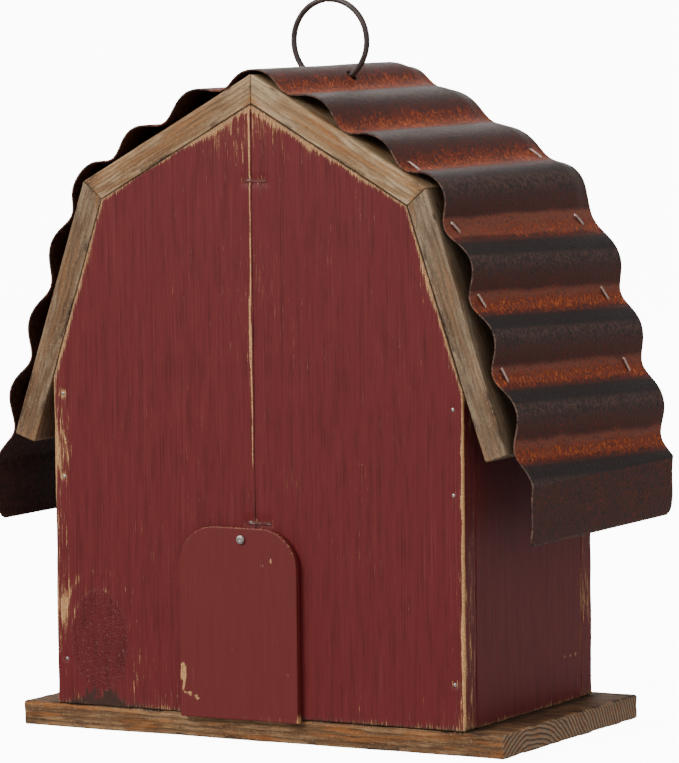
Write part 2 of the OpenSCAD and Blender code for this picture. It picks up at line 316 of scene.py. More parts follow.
class Recipe:
    """A material's node tree under construction."""

    def __init__(self, name: str) -> None:
        """Starts an empty material.

        Args:
            name: name of the material.
        """
        self.material = bpy.data.materials.new(name)
        self.material.use_nodes = True
        self.tree = self.material.node_tree
        self.tree.nodes.clear()

    def level(
        self, kind: str, output: int | str, inputs: Optional[dict] = None, **settings: object
    ) -> Level:
        """Adds one node.

        Args:
            kind: type of the node.
            output: the output that is wanted.
            inputs: a level or a constant for each named or numbered input.
            **settings: properties of the node.

        Returns:
            That output.
        """
        made = self.tree.nodes.new(kind)
        for key, value in settings.items():
            setattr(made, key, value)
        for key, value in (inputs or {}).items():
            if isinstance(value, Level):
                self.tree.links.new(value.socket, made.inputs[key])
            else:
                made.inputs[key].default_value = value
        return Level(self, made.outputs[output])

    def fact(self, name: str, output: str = "Fac") -> Level:
        """Value stored on the mesh under that name."""
        return self.level("ShaderNodeAttribute", output, attribute_name=name)

    def grain(self, scale: Sequence[float], name: str = "grain") -> Level:
        """Coordinates stored on the mesh, times a scale.

        Args:
            scale: cells per millimetre across the grain, along it and through it.
            name: name of the stored coordinates.

        Returns:
            A vector.
        """
        inputs = {0: self.fact(name, "Vector"), 1: tuple(scale)}
        return self.level("ShaderNodeVectorMath", 0, inputs, operation="MULTIPLY")

    def noise(self, scale: Sequence[float], detail: float = 2.0, rough: float = 0.5, bend: float = 0.0,
            name: str = "grain") -> Level:
        """Noise from 0 to 1.

        Args:
            scale: cells per millimetre across the grain, along it and through it.
            detail: how many octaves.
            rough: strength of the small octaves.
            bend: how far the noise distorts itself.
            name: name of the stored coordinates.

        Returns:
            The noise.
        """
        inputs = {"Vector": self.grain(scale, name), "Scale": 1.0, "Detail": detail, "Roughness": rough}
        return self.level("ShaderNodeTexNoise", "Fac", {**inputs, "Distortion": bend})

    def cracks(self, scale: Sequence[float]) -> Level:
        """Distance to the borders of a cell pattern of that scale."""
        inputs = {"Vector": self.grain(scale), "Scale": 1.0}
        return self.level("ShaderNodeTexVoronoi", "Distance", inputs, feature="DISTANCE_TO_EDGE")

    def math(self, operation: str, a: Level | float, b: Level | float = 0.0) -> Level:
        """Result of one sum on a and b."""
        return self.level("ShaderNodeMath", 0, {0: a, 1: b}, operation=operation)

    def step(self, value: Level, start: float, end: float) -> Level:
        """Smooth step from 0 at start to 1 at end.

        Args:
            value: the level to map.
            start: where the step begins.
            end: where it ends; less than start gives a falling step.

        Returns:
            A level from 0 to 1.
        """
        low, high, at_low = (start, end, 0.0) if end > start else (end, start, 1.0)
        inputs = {"Value": value, "From Min": low, "From Max": high, "To Min": at_low,
            "To Max": 1.0 - at_low}
        return self.level("ShaderNodeMapRange", "Result", inputs, interpolation_type="SMOOTHSTEP")

    def mix(self, share: Level, a: Level | str, b: Level | str) -> Level:
        """Blend of two colours.

        Args:
            share: 0 gives a and 1 gives b.
            a: first level or six-digit colour.
            b: second level or six-digit colour.

        Returns:
            The colour.
        """
        a, b = (tone(c) if isinstance(c, str) else c for c in (a, b))
        return self.level("ShaderNodeMix", 2, {"Factor": share, 6: a, 7: b}, data_type="RGBA")

    def between(self, share: Level, a: float, b: float) -> Level:
        """Number that goes from a to b as the share goes from 0 to 1."""
        return self.level("ShaderNodeMapRange", "Result", {"Value": share, "To Min": a, "To Max": b})

    def bump(self, height: Level, depth: float, under: Optional[Level] = None) -> Level:
        """Surface normal of a height pattern.

        Args:
            height: the pattern, from 0 to 1.
            depth: its real height in millimetres.
            under: normal of a pattern below it.

        Returns:
            The normal.
        """
        inputs = {"Height": height, "Distance": depth * MM, "Strength": 1.0}
        if under is not None:
            inputs["Normal"] = under
        return self.level("ShaderNodeBump", "Normal", inputs)

    def surface(self, **inputs: Level | float | tuple) -> Material:
        """Closes the tree with one surface shader.

        Args:
            **inputs: the shader's inputs, with _ for a space.

        Returns:
            The finished material.
        """
        inputs = {key.replace("_", " "): value for key, value in inputs.items()}
        shader = self.level("ShaderNodeBsdfPrincipled", 0, inputs)
        output = self.tree.nodes.new("ShaderNodeOutputMaterial")
        self.tree.links.new(shader.socket, output.inputs["Surface"])
        return self.material


@dataclass(frozen=True)
class RedPaint:
    """Barn-red paint over softwood, rubbed through where the mesh says it is worn."""

    name: str = "red_paint"
    paint: str = "722023"
    pale_paint: str = "863B38"
    deep_paint: str = "5A1516"
    thin_paint: str = "96604C"
    wood: str = "C08048"
    pale_wood: str = "F0C08A"
    stained_wood: str = "8A6A54"
    # Colour of dirt, also used for painted shade in joints and under overhangs
    grime_and_shade: str = "3C2C25"
    grain_depth: float = 0.12

    def build(self) -> Material:
        """Makes the material.

        Returns:
            The finished material.
        """
        r = Recipe(self.name)
        fine = r.noise((1.5, 0.014, 1.5), 4.0, 0.66, 0.25)
        hair = r.noise((3.1, 0.05, 3.1), 3.0, 0.6, 0.4)
        strokes = r.noise((1.35, 0.075, 1.35), 5.0, 0.72, 0.2)
        broad = r.noise((0.11, 0.012, 0.11), 3.0, 0.55, 0.6)
        speck = r.noise((2.1, 1.3, 2.1), 2.0, 0.6)
        lines = fine * 0.6 + hair * 0.4
        cloud = r.noise((0.3, 0.05, 0.3), 3.0, 0.6)
        depth = lines + (cloud - 0.5) * 0.5
        colour = r.mix(r.step(depth, 0.28, 0.56), self.deep_paint, self.paint)
        pale = r.step(lines, 0.5, 0.66) * r.step(broad, 0.36, 0.64)
        colour = r.mix(pale * 0.55, colour, self.pale_paint)
        pore = r.noise((2.4, 0.16, 2.4), 3.0, 0.7)
        colour = r.mix(r.step(pore, 0.39, 0.29) * 0.5, colour, "431110")
        # Rubbed through: the stored wear moves the threshold of the brush strokes
        worn_sum = strokes + r.fact("wear")
        worn = r.step(worn_sum, 0.99, 1.02)
        thin = r.step(worn_sum, 0.9, 1.0) * 0.4
        colour = r.mix(thin, colour, self.thin_paint)
        bare = r.mix(r.step(speck, 0.35, 0.65), self.wood, self.pale_wood)
        bare = r.mix(r.step(hair, 0.62, 0.45) * r.fact("stain"), bare, self.stained_wood)
        worn = r.math("MAXIMUM", worn, r.fact("bare"))
        colour = r.mix(worn, colour, bare)
        # Grime and painted shade lie over paint and wood alike: the stored value holds dirt, and
        # painted shade in the joints and under the overhangs
        grime_and_shade_sum = r.noise((0.75, 0.2, 0.75), 5.0, 0.75) + r.fact("grime_and_shade")
        darkening = r.step(grime_and_shade_sum, 0.8, 1.1) * 0.88
        colour = r.mix(darkening, colour, self.grime_and_shade)
        # Crackled paint over a knot
        knot = r.fact("knot")
        cell = r.cracks((1.35, 1.15, 1.35))
        crackle = r.step(cell, 0.1, 0.01) * knot
        crackle = crackle * r.step(strokes, 0.4, 0.6)
        colour = r.mix(crackle * 0.5, colour, "35100F")
        # Painted highlight: pale glints on the crackle over the knot
        glint = r.step(speck, 0.63, 0.7) * r.step(cell, 0.12, 0.02)
        colour = r.mix(glint * (knot * 0.8), colour, "C08A80")
        rough = r.between(r.math("MAXIMUM", worn, darkening), 0.5, 0.84)
        rough = rough + (hair - 0.5) * 0.25
        rough = rough - knot * 0.12
        ridges = r.bump(lines, self.grain_depth)
        step = r.bump(1.0 - worn, 0.1, ridges)
        blister = r.bump(r.step(cell, 0.0, 0.2) * knot, 0.12, step)
        return r.surface(Base_Color=colour, Roughness=rough, Normal=blister, Specular_IOR_Level=0.36)


@dataclass(frozen=True)
class WeatheredWood:
    """Unpainted softwood with growth rings, dark stain and rubbed edges."""

    name: str
    wood: str = "A07A55"
    pale_wood: str = "C9A880"
    late_wood: str = "6A4A31"
    glow: str = "B06E33"
    glow_share: float = 0.35
    stain: str = "45352B"
    stain_share: float = 0.5
    late_share: float = 0.38
    pith: tuple[float, float] = (0.0, 34.0)
    ring_width: float = 1.5
    wander: float = 7.0

    def build(self) -> Material:
        """Makes the material.

        Returns:
            The finished material.
        """
        r = Recipe(self.name)
        drift = r.noise((0.06, 0.01, 0.06), 3.0, 0.55)
        stored = {0: r.fact("grain", "Vector")}
        across = r.level("ShaderNodeSeparateXYZ", 0, stored) - self.pith[0]
        through = r.level("ShaderNodeSeparateXYZ", 2, stored) - self.pith[1]
        squares = across * across + through * through
        fine = r.noise((2.6, 0.06, 2.6), 4.0, 0.7, 0.3)
        radius = r.math("SQRT", squares) / self.ring_width
        radius = radius + drift * self.wander
        radius = radius + fine * 0.5
        saw = r.math("FRACT", radius, 0.0)
        late = r.step(saw, 0.3, 0.92) * r.step(saw, 1.0, 0.93)
        blotch = r.noise((0.16, 0.045, 0.16), 4.0, 0.65)
        colour = r.mix(r.step(blotch, 0.4, 0.6), self.wood, self.pale_wood)
        colour = r.mix(late * self.late_share, colour, self.late_wood)
        colour = r.mix(r.step(fine, 0.46, 0.72) * 0.45, colour, self.late_wood)
        # Sawn ends: pale early wood between dark late wood
        sawn = r.fact("end")
        colour = r.mix(sawn * 0.75, colour, "A98E74")
        warm = r.noise((0.42, 0.028, 0.42), 4.0, 0.65, 0.3)
        warm = r.step(warm, 0.49, 0.62) * self.glow_share
        colour = r.mix(warm, colour, self.glow)
        # Stain stays in the hollows; the edges are rubbed pale in places, dark in others
        edge = r.step(r.fact("edge"), 2.2, 0.2)
        pores = r.noise((0.9, 0.09, 0.9), 5.0, 0.75, 0.2)
        cloud = r.noise((0.1, 0.05, 0.1), 3.0, 0.6)
        # The stored value from the mesh adds dirt, and on the base painted shade close to the walls
        stain = r.step(pores, 0.42, 0.66) + r.fact("grime_and_shade")
        stain = stain + r.step(cloud, 0.42, 0.66) * 0.35
        rub = edge * r.between(r.step(cloud, 0.44, 0.6), -0.75, 0.5)
        stain = stain * self.stain_share + rub
        stain = stain - sawn * 0.5
        stain = r.math("MINIMUM", r.math("MAXIMUM", stain, 0.0), 0.92)
        colour = r.mix(stain, colour, self.stain)
        speck = r.noise((1.9, 0.8, 1.9), 3.0, 0.7)
        chip = r.step(speck, 0.58, 0.68) * r.between(edge, 0.32, 0.85)
        colour = r.mix(chip, colour, "D9C2A2")
        pit = r.step(speck, 0.4, 0.31) * 0.6
        colour = r.mix(pit, colour, "3A2A20")
        rings = sawn * late * 0.85
        colour = r.mix(rings, colour, "33241C")
        rough = r.between(stain, 0.66, 0.86)
        ridges = r.bump(fine - late * 0.4, 0.22)
        normal = r.bump(pores, 0.2, ridges)
        return r.surface(Base_Color=colour, Roughness=rough, Normal=normal, Specular_IOR_Level=0.3)


@dataclass(frozen=True)
class RustedSheet:
    """Dark patina on corrugated sheet steel, rusty towards and just past each valley."""

    name: str = "rusted_sheet"
    soot: str = "190B08"
    crest: str = "4C2E25"
    crest_sheen: str = "8A6C60"
    umber: str = "562216"
    valley: str = "9C553F"
    rust: str = "8A3010"
    bright_rust: str = "EE7A2C"
    lining: str = "2E1811"

    def build(self) -> Material:
        """Makes the material.

        Returns:
            The finished material.
        """
        r = Recipe(self.name)
        fine = r.noise((0.8, 0.8, 0.8), 3.0, 0.85)
        speck = r.noise((0.45, 0.45, 0.45), 4.0, 0.85)
        broad = r.noise((0.05, 0.03, 0.05), 3.0, 0.6)
        scratch = r.noise((1.5, 0.22, 1.0), 4.0, 0.7, 0.2, "brush")
        # Crests: brown-black with fine specks, and grey specks that are a painted sheen where the
        # crests catch the light
        colour = r.mix(r.step(fine, 0.4, 0.6), "1F100C", self.crest)
        shine = r.step(speck, 0.48, 0.6) * r.fact("crest")
        colour = r.mix(shine * 0.48, colour, self.crest_sheen)
        # Falling faces warm up towards the valley
        warm = r.fact("warm") + (speck - 0.5) * 3.4
        colour = r.mix(r.step(warm, 0.12, 0.55) * 0.9, colour, self.umber)
        low = r.fact("valley") + (broad - 0.5) * 0.8
        colour = r.mix(r.step(low, 0.3, 0.95) * 0.88, colour, self.valley)
        # Rust, brushed on slantwise and broken into specks
        rusty = r.fact("rust") + (scratch - 0.5) * 2.3
        rusty = rusty + (broad - 0.5) * 1.1
        rusty = rusty + (fine - 0.5) * 3.2
        colour = r.mix(r.step(rusty, 0.58, 0.92) * 0.84, colour, self.rust)
        hot = r.step(rusty, 0.98, 1.4) * r.step(scratch, 0.5, 0.58)
        colour = r.mix(hot * 0.85, colour, self.bright_rust)
        # Soot gathers where each wave rises again
        soot = r.fact("soot") + (speck - 0.5) * 0.7
        colour = r.mix(r.step(soot, 0.3, 0.9) * 0.88, colour, self.soot)
        pits = r.step(fine, 0.46, 0.39) * 0.8
        colour = r.mix(pits, colour, self.soot)
        inside = r.mix(r.step(speck, 0.4, 0.65), self.lining, "5A3224")
        colour = r.mix(r.fact("under"), colour, inside)
        # Painted highlight: a pale broken line along the sheet's cut edges and hole rims
        edge = r.fact("rim") * r.step(speck, 0.4, 0.62)
        colour = r.mix(edge * 0.35, colour, "A08676")
        rough = (fine - 0.5) * 0.6 + 0.52
        rough = rough + r.fact("rust") * 0.14
        normal = r.bump(scratch, 0.1, r.bump(fine, 0.6))
        return r.surface(Base_Color=colour, Roughness=rough, Normal=normal, Specular_IOR_Level=0.34)


@dataclass(frozen=True)
class RingSteel:
    """Dark brown-grey wire with a satin skin."""

    name: str = "ring_steel"
    skin: str = "4A3A36"
    worn: str = "7B6A62"

    def build(self) -> Material:
        """Makes the material.

        Returns:
            The finished material.
        """
        r = Recipe(self.name)
        along = r.noise((0.9, 0.12, 0.9), 3.0, 0.6)
        speck = r.noise((1.6, 1.2, 1.6), 3.0, 0.7)
        colour = r.mix(r.step(along, 0.35, 0.7), "372A27", self.skin)
        colour = r.mix(r.step(speck, 0.56, 0.72) * 0.6, colour, self.worn)
        colour = r.mix(r.step(along, 0.6, 0.78) * 0.5, colour, "6A3A28")
        rough = r.between(speck, 0.3, 0.55)
        return r.surface(Base_Color=colour, Roughness=rough, Normal=r.bump(speck, 0.05),
            Specular_IOR_Level=0.6)


@dataclass(frozen=True)
class BrightSteel:
    """Bright fixing steel, more or less tarnished, with paint on it where brushed over."""

    name: str = "bright_steel"
    steel: str = "CFCBC7"
    tarnish: str = "7E716A"
    film: str = "7A3230"
    paint_share: float = 0.0

    def build(self) -> Material:
        """Makes the material.

        Returns:
            The finished material.
        """
        r = Recipe(self.name)
        speck = r.noise((1.3, 1.3, 1.3), 3.0, 0.65)
        patch = r.noise((0.42, 0.42, 0.42), 2.0, 0.6)
        colour = r.mix(r.step(speck, 0.4, 0.68), self.steel, self.tarnish)
        film = r.step(patch, 0.62, 0.52) * self.paint_share
        colour = r.mix(film, colour, self.film)
        rough = r.between(speck, 0.24, 0.46)
        return r.surface(Base_Color=colour, Roughness=rough, Normal=r.bump(speck, 0.03), Metallic=0.75)


@dataclass(frozen=True)
class PaleFloor:
    """Plain matte white floor."""

    name: str = "pale_floor"
    shade: str = "F4F3F1"
    glow: float = 11.0

    def build(self) -> Material:
        """Makes the material.

        Returns:
            The finished material.
        """
        r = Recipe(self.name)
        white = tone("FFFFFF")
        return r.surface(Base_Color=tone(self.shade), Roughness=0.9, Specular_IOR_Level=0.1,
            Emission_Color=white, Emission_Strength=self.glow)


# ------------------------------------------------------------ the house's lines


class HouseLines:
    """The roof lines and planes of the house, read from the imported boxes."""

    def __init__(self) -> None:
        """Reads the sizes, all in millimetres."""
        self.half_w = corner("side_board_right", True)[0]
        self.wall_t = self.half_w - corner("side_board_right", False)[0]
        self.base_low = corner("base_board", False)
        self.base_high = corner("base_board", True)
        self.back_y = corner("back_board_left", False)[1]
        self.front_y = corner("front_board_left", True)[1]
        self.deck_y = corner("roof_board_upper_right", True)[1]
        self.peak = np.array([0.0, corner("roof_board_upper_right", True)[2]])
        knee_z = corner("roof_board_lower_right", True)[2]
        self.knee = np.array([corner("roof_board_upper_right", True)[0], knee_z])
        self.upper = math.atan2(self.peak[1] - knee_z, self.knee[0])
        self.inner_peak_z = corner("front_board_left", True)[2]
        self.roof_t = (self.peak[1] - self.inner_peak_z) * math.cos(self.upper)
        tip_x, low_z = corner("roof_board_lower_right", True)[0], corner("roof_board_lower_right",
            False)[2]
        tip_z = low_z
        for _ in range(12):
            slope = math.atan2(knee_z - tip_z, tip_x - self.knee[0])
            tip_z = low_z + self.roof_t * math.cos(slope)
        self.eave = vec(tip_x, tip_z)
        self.lower = math.atan2(knee_z - tip_z, tip_x - self.knee[0])
        self.turn = self.lower - self.upper
        self.inner_knee = self.knee_out(-self.roof_t)
        self.shoulder_z = self.inner_knee[1] - (self.half_w - self.inner_knee[0]) * math.tan(self.lower)

    def knee_out(self, d: float) -> Array:
        """The knee moved outward by d along the bisector of its two slopes.

        Args:
            d: distance from both slopes.

        Returns:
            Its x and z.
        """
        half = (self.upper + self.lower) / 2.0
        reach = d / math.cos(self.turn / 2.0)
        return self.knee + reach * vec(math.sin(half), math.cos(half))


# ----------------------------------------------------------------------- boards


@dataclass
class Notch:
    """Round cut that opens at a board's near edge."""

    across: float
    along: float
    radius: float


@dataclass
class Dimple:
    """Shallow hollow round a driven fastener, in a board's own coordinates."""

    across: float
    along: float
    half_w: float
    half_h: float
    depth: float
    chipped: float = 0.0


@dataclass
class Board:
    """One board: a convex outline on its outer face, and a thickness.

    Points on it are measured across the grain, along the grain and inward from the
    outer face.
    """

    name: str
    node: str
    corners: list[tuple[float, float]]
    thickness: float
    origin: Array
    across: Array
    along: Array
    inward: Array
    finish: Material
    slot: Slot
    body: Body = Body.HOUSE
    inner_ends: Optional[tuple[float, float]] = None
    notch: Optional[Notch] = None
    pocket: Optional[tuple[float, float, float, float]] = None
    tight: tuple[int, ...] = ()
    radii: tuple[float, ...] = ()
    radius: float = 0.6
    unevenness: float = 0.45
    relief: float = 0.10
    relief_size: tuple[float, float] = (2.6, 46.0)
    step_across: float = 1.0
    step_along: float = 2.0
    seed: int = 1
    dimples: list[Dimple] = field(default_factory=list)
    facts: Optional[Callable[["Board", Array, Array], dict[str, Array]]] = None

    def stations(self, step: float) -> Array:
        """Rows along the grain, closer together near ends, corners and the notch.

        Args:
            step: usual distance between rows.

        Returns:
            The rows in rising order.
        """
        levels = [v for _, v in self.corners]
        low, high = min(levels), max(levels)
        rows = [low + EDGE_CLUSTER, high - EDGE_CLUSTER]
        rows.append(np.linspace(low + 2.3, high - 2.3, max(3, int((high - low) / step))))
        for level in levels:
            rows.append(np.clip([level - 0.5, level, level + 0.5], low, high))
        if self.notch:
            turn = np.linspace(-math.pi / 2, math.pi / 2, 56)
            rows.append(np.clip(self.notch.along + self.notch.radius * np.sin(turn), low, high))
        rows = np.unique(np.clip(np.round(np.concatenate(rows), 3), low, high))
        keep = np.concatenate([[True], np.diff(rows) > 0.12])
        keep[-1] = True
        return rows[keep]

    def span(self, level: float) -> tuple[float, float, bool]:
        """The outline's two sides at one row.

        Args:
            level: place of the row along the grain.

        Returns:
            Where the row starts and ends, and whether it starts at the notch.
        """
        found = []
        count = len(self.corners)
        for i in range(count):
            (u0, v0), (u1, v1) = self.corners[i], self.corners[(i + 1) % count]
            if min(v0, v1) - 1e-9 <= level <= max(v0, v1) + 1e-9:
                if abs(v1 - v0) < 1e-9:
                    found += [u0, u1]
                else:
                    found.append(u0 + (u1 - u0) * (level - v0) / (v1 - v0))
        low, high = min(found), max(found)
        if self.notch:
            rise = self.notch.radius**2 - (level - self.notch.along) ** 2
            if rise > 0 and self.notch.across - math.sqrt(rise) <= low + 2.5:
                cut = self.notch.across + math.sqrt(rise)
                if cut > low:
                    return cut, high, True
        return low, high, False

    def grid(self) -> tuple[Array, Array]:
        """Points of the outer face.

        Returns:
            The rows of (across, along) points, and a mark for rows that start at the
            notch.
        """
        rows = self.stations(self.step_along)
        width = max(u for u, _ in self.corners) - min(u for u, _ in self.corners)
        middle = max(4, int(width / self.step_across))
        points, cut = [], []
        for level in rows:
            low, high, at_notch = self.span(level)
            k = min(1.0, (high - low) / 12.0)
            inner = np.linspace(low + EDGE_CLUSTER[-1] * k, high - EDGE_CLUSTER[-1] * k, middle)
            row = np.concatenate([low + EDGE_CLUSTER[:-1] * k, inner, high - EDGE_CLUSTER[-2::-1] * k])
            points.append(np.stack([row, np.full_like(row, level)], axis=1))
            cut.append(at_notch)
        return np.array(points), np.array(cut)

    def to_inner(self, points: Array) -> Array:
        """The same outline points on the inner face.

        Args:
            points: (across, along) points of the outer face.

        Returns:
            Where they lie on the inner face.
        """
        moved = points.copy()
        if self.inner_ends:
            low, high = min(v for _, v in self.corners), max(v for _, v in self.corners)
            share = (points[..., 1] - low) / (high - low)
            moved[..., 1] = self.inner_ends[0] + share * (self.inner_ends[1] - self.inner_ends[0])
        return moved

    def planes(self) -> tuple[Array, Array]:
        """The board's flat sides, the outer and inner face last.

        Returns:
            One point on each, and each one's inward normal.
        """
        spots, normals = [], []
        count = len(self.corners)
        centre = np.append(np.mean(self.corners, axis=0), self.thickness / 2.0)
        for i in range(count):
            a = np.array([*self.corners[i], 0.0])
            b = np.array([*self.corners[(i + 1) % count], 0.0])
            c = np.append(self.to_inner(np.array(self.corners[i], float)), self.thickness)
            n = np.cross(b - a, c - a)
            n /= np.linalg.norm(n)
            spots.append(a)
            normals.append(n if np.dot(centre - a, n) > 0 else -n)
        spots += [np.zeros(3), vec(0.0, 0.0, self.thickness)]
        normals += [Z_AXIS, vec(0.0, 0.0, -1.0)]
        return np.array(spots), np.array(normals)

    def shape(self) -> tuple[Array, Array, Array]:
        """The board's sharp-edged mesh.

        Returns:
            The points, the faces, and a mark for points on the notch's wall.
        """
        outer, cut = self.grid()
        count_r, count_c = outer.shape[:2]
        flat = outer.reshape(-1, 2)
        inner = self.to_inner(flat)
        size = len(flat)
        index, quad = grid_quads(count_r, count_c)
        loop = np.concatenate([index[0, :], index[1:, -1], index[-1, -2::-1], index[-2:0:-1, 0]])
        cluster = EDGE_CLUSTER[1:] * min(1.0, self.thickness / 8.0)
        middle = max(2, int(self.thickness / 1.4))
        levels = np.concatenate(
            [cluster[:-1], np.linspace(cluster[-1], self.thickness - cluster[-1], middle),
            self.thickness - cluster[-2::-1]])
        points = [np.column_stack([flat, np.zeros(size)])]
        points.append(np.column_stack([inner, np.full(size, self.thickness)]))
        for level in levels:
            ring = flat[loop] + (inner[loop] - flat[loop]) * level / self.thickness
            points.append(np.column_stack([ring, np.full(len(loop), level)]))
        faces = [quad, quad[:, ::-1] + size]
        rings = [loop] + [2 * size + k * len(loop) + np.arange(len(loop)) for k in range(len(levels))]
        rings.append(loop + size)
        for a, b in zip(rings[:-1], rings[1:]):
            faces.append(np.stack([a, np.roll(a, -1), np.roll(b, -1), b], -1))
        on_cut = np.zeros(size, bool)
        on_cut[index[:, 0][cut]] = True
        marks = np.concatenate([on_cut, on_cut] + [on_cut[loop]] * len(levels))
        return np.concatenate(points), np.concatenate(faces), marks

    def soften(self, points: Array, marks: Array) -> tuple[Array, Array]:
        """Rounds every edge and corner unevenly, and presses the grain in.

        Args:
            points: points of the sharp-edged mesh.
            marks: True for points on the notch's wall.

        Returns:
            The worn points, and each point's distance from the nearest edge.
        """
        spots, normals = self.planes()
        depth = np.stack([(points - s) @ n for s, n in zip(spots, normals)], axis=1)
        radii = np.array(list(self.radii) + [self.radius] * (len(self.corners) - len(self.radii)))
        near = np.exp(-((depth[:, : len(radii)] / 2.0) ** 2)) + 1e-6
        radius = (near * radii).sum(1) / near.sum(1)
        wobble = noise(points, (7.0, 9.0, 5.0), self.seed, 3)
        radius = np.clip(radius * (1.0 + self.unevenness * 1.6 * wobble), 0.12, self.thickness * 0.42)
        core = points.copy()
        for _ in range(8):
            for s, n in zip(spots, normals):
                short = radius - (core - s) @ n
                core += np.clip(short, 0.0, None)[:, None] * n
        away = points - core
        length = np.linalg.norm(away, axis=1)
        facing = away / np.maximum(length, 1e-9)[:, None]
        worn = core + facing * radius[:, None]
        edge = np.sort(np.abs(depth), axis=1)[:, 1]
        press = self.relief * self.grain_height(points)
        for d in self.dimples:
            du = np.abs(points[:, 0] - d.across) - d.half_w
            dv = np.abs(points[:, 1] - d.along) - d.half_h
            gap = np.hypot(np.clip(du, 0, None), np.clip(dv, 0, None))
            press += np.where(points[:, 2] < 0.01, d.depth * smooth(gap, 1.6, 0.2), 0.0)
        worn -= facing * press[:, None]
        for side in self.tight:
            inside = (depth[:, side] < 0.01) & (np.minimum(points[:, 2],
                self.thickness - points[:, 2]) > 1.0)
            short = (points[inside] - worn[inside]) @ normals[side]
            worn[inside] += short[:, None] * normals[side]
        if self.notch:
            flat = points[:, :2] - (self.notch.across, self.notch.along)
            rim = np.linalg.norm(flat, axis=1) - self.notch.radius
            lip = 0.7
            drop = lip - np.sqrt(np.clip(lip**2 - (lip - np.clip(rim, 0, lip)) ** 2, 0, None))
            face = ~marks & (np.minimum(points[:, 2], self.thickness - points[:, 2]) < 0.01)
            sign = np.where(points[:, 2] < self.thickness / 2, 1.0, -1.0)
            worn[face, 2] += (drop * sign)[face]
            share = points[marks, 2] / self.thickness
            worn[marks] = points[marks]
            worn[marks, 2] = lip + share * (self.thickness - 2 * lip)
            edge = np.where(marks, np.minimum(points[:, 2], self.thickness - points[:, 2]), edge)
            edge = np.minimum(edge, np.where(face, np.abs(rim), edge))
        return worn, edge

    def grain_height(self, points: Array) -> Array:
        """Depth of the grain at each point, from 0 to 1.

        Args:
            points: points of the board.

        Returns:
            The depths.
        """
        wide, long = self.relief_size
        ridges = noise(points, (wide, long, wide), self.seed + 5, 2)
        broad = noise(points, (28.0, 70.0, 28.0), self.seed + 9, 1)
        return np.clip(0.5 + 0.45 * ridges + 0.25 * broad, 0.0, 1.2)

    def build(self) -> Piece:
        """Makes the board and puts it on its body.

        Returns:
            The board's object.
        """
        points, faces, marks = self.shape()
        if self.pocket:
            place_u, half, reach, deep = self.pocket
            inside = (np.abs(points[:, 0] - place_u) < half) & (points[:, 1] < reach)
            points[inside, 2] = np.maximum(points[inside, 2], deep)
            if self.inner_ends:
                slant = self.inner_ends[0] / self.thickness
                low = points[inside, 2] * slant
                points[inside, 1] = np.maximum(points[inside, 1], low)
        worn, edge = self.soften(points, marks)
        offset = vec(self.seed * 137.0, self.seed * 211.0, 0.0)
        facts = {"grain": points + offset * (self.slot == Slot.RED_PAINT), "edge": edge}
        facts["grime_and_shade"] = np.zeros(len(points))
        if self.facts:
            facts.update(self.facts(self, points, marks))
        world = self.origin + worn @ np.stack([self.across, self.along, self.inward])
        piece = make_piece(self.name, world, faces, facts)
        return place(piece, self.finish, self.body, self.slot, self.node)


# -------------------------------------------------------------------- the walls


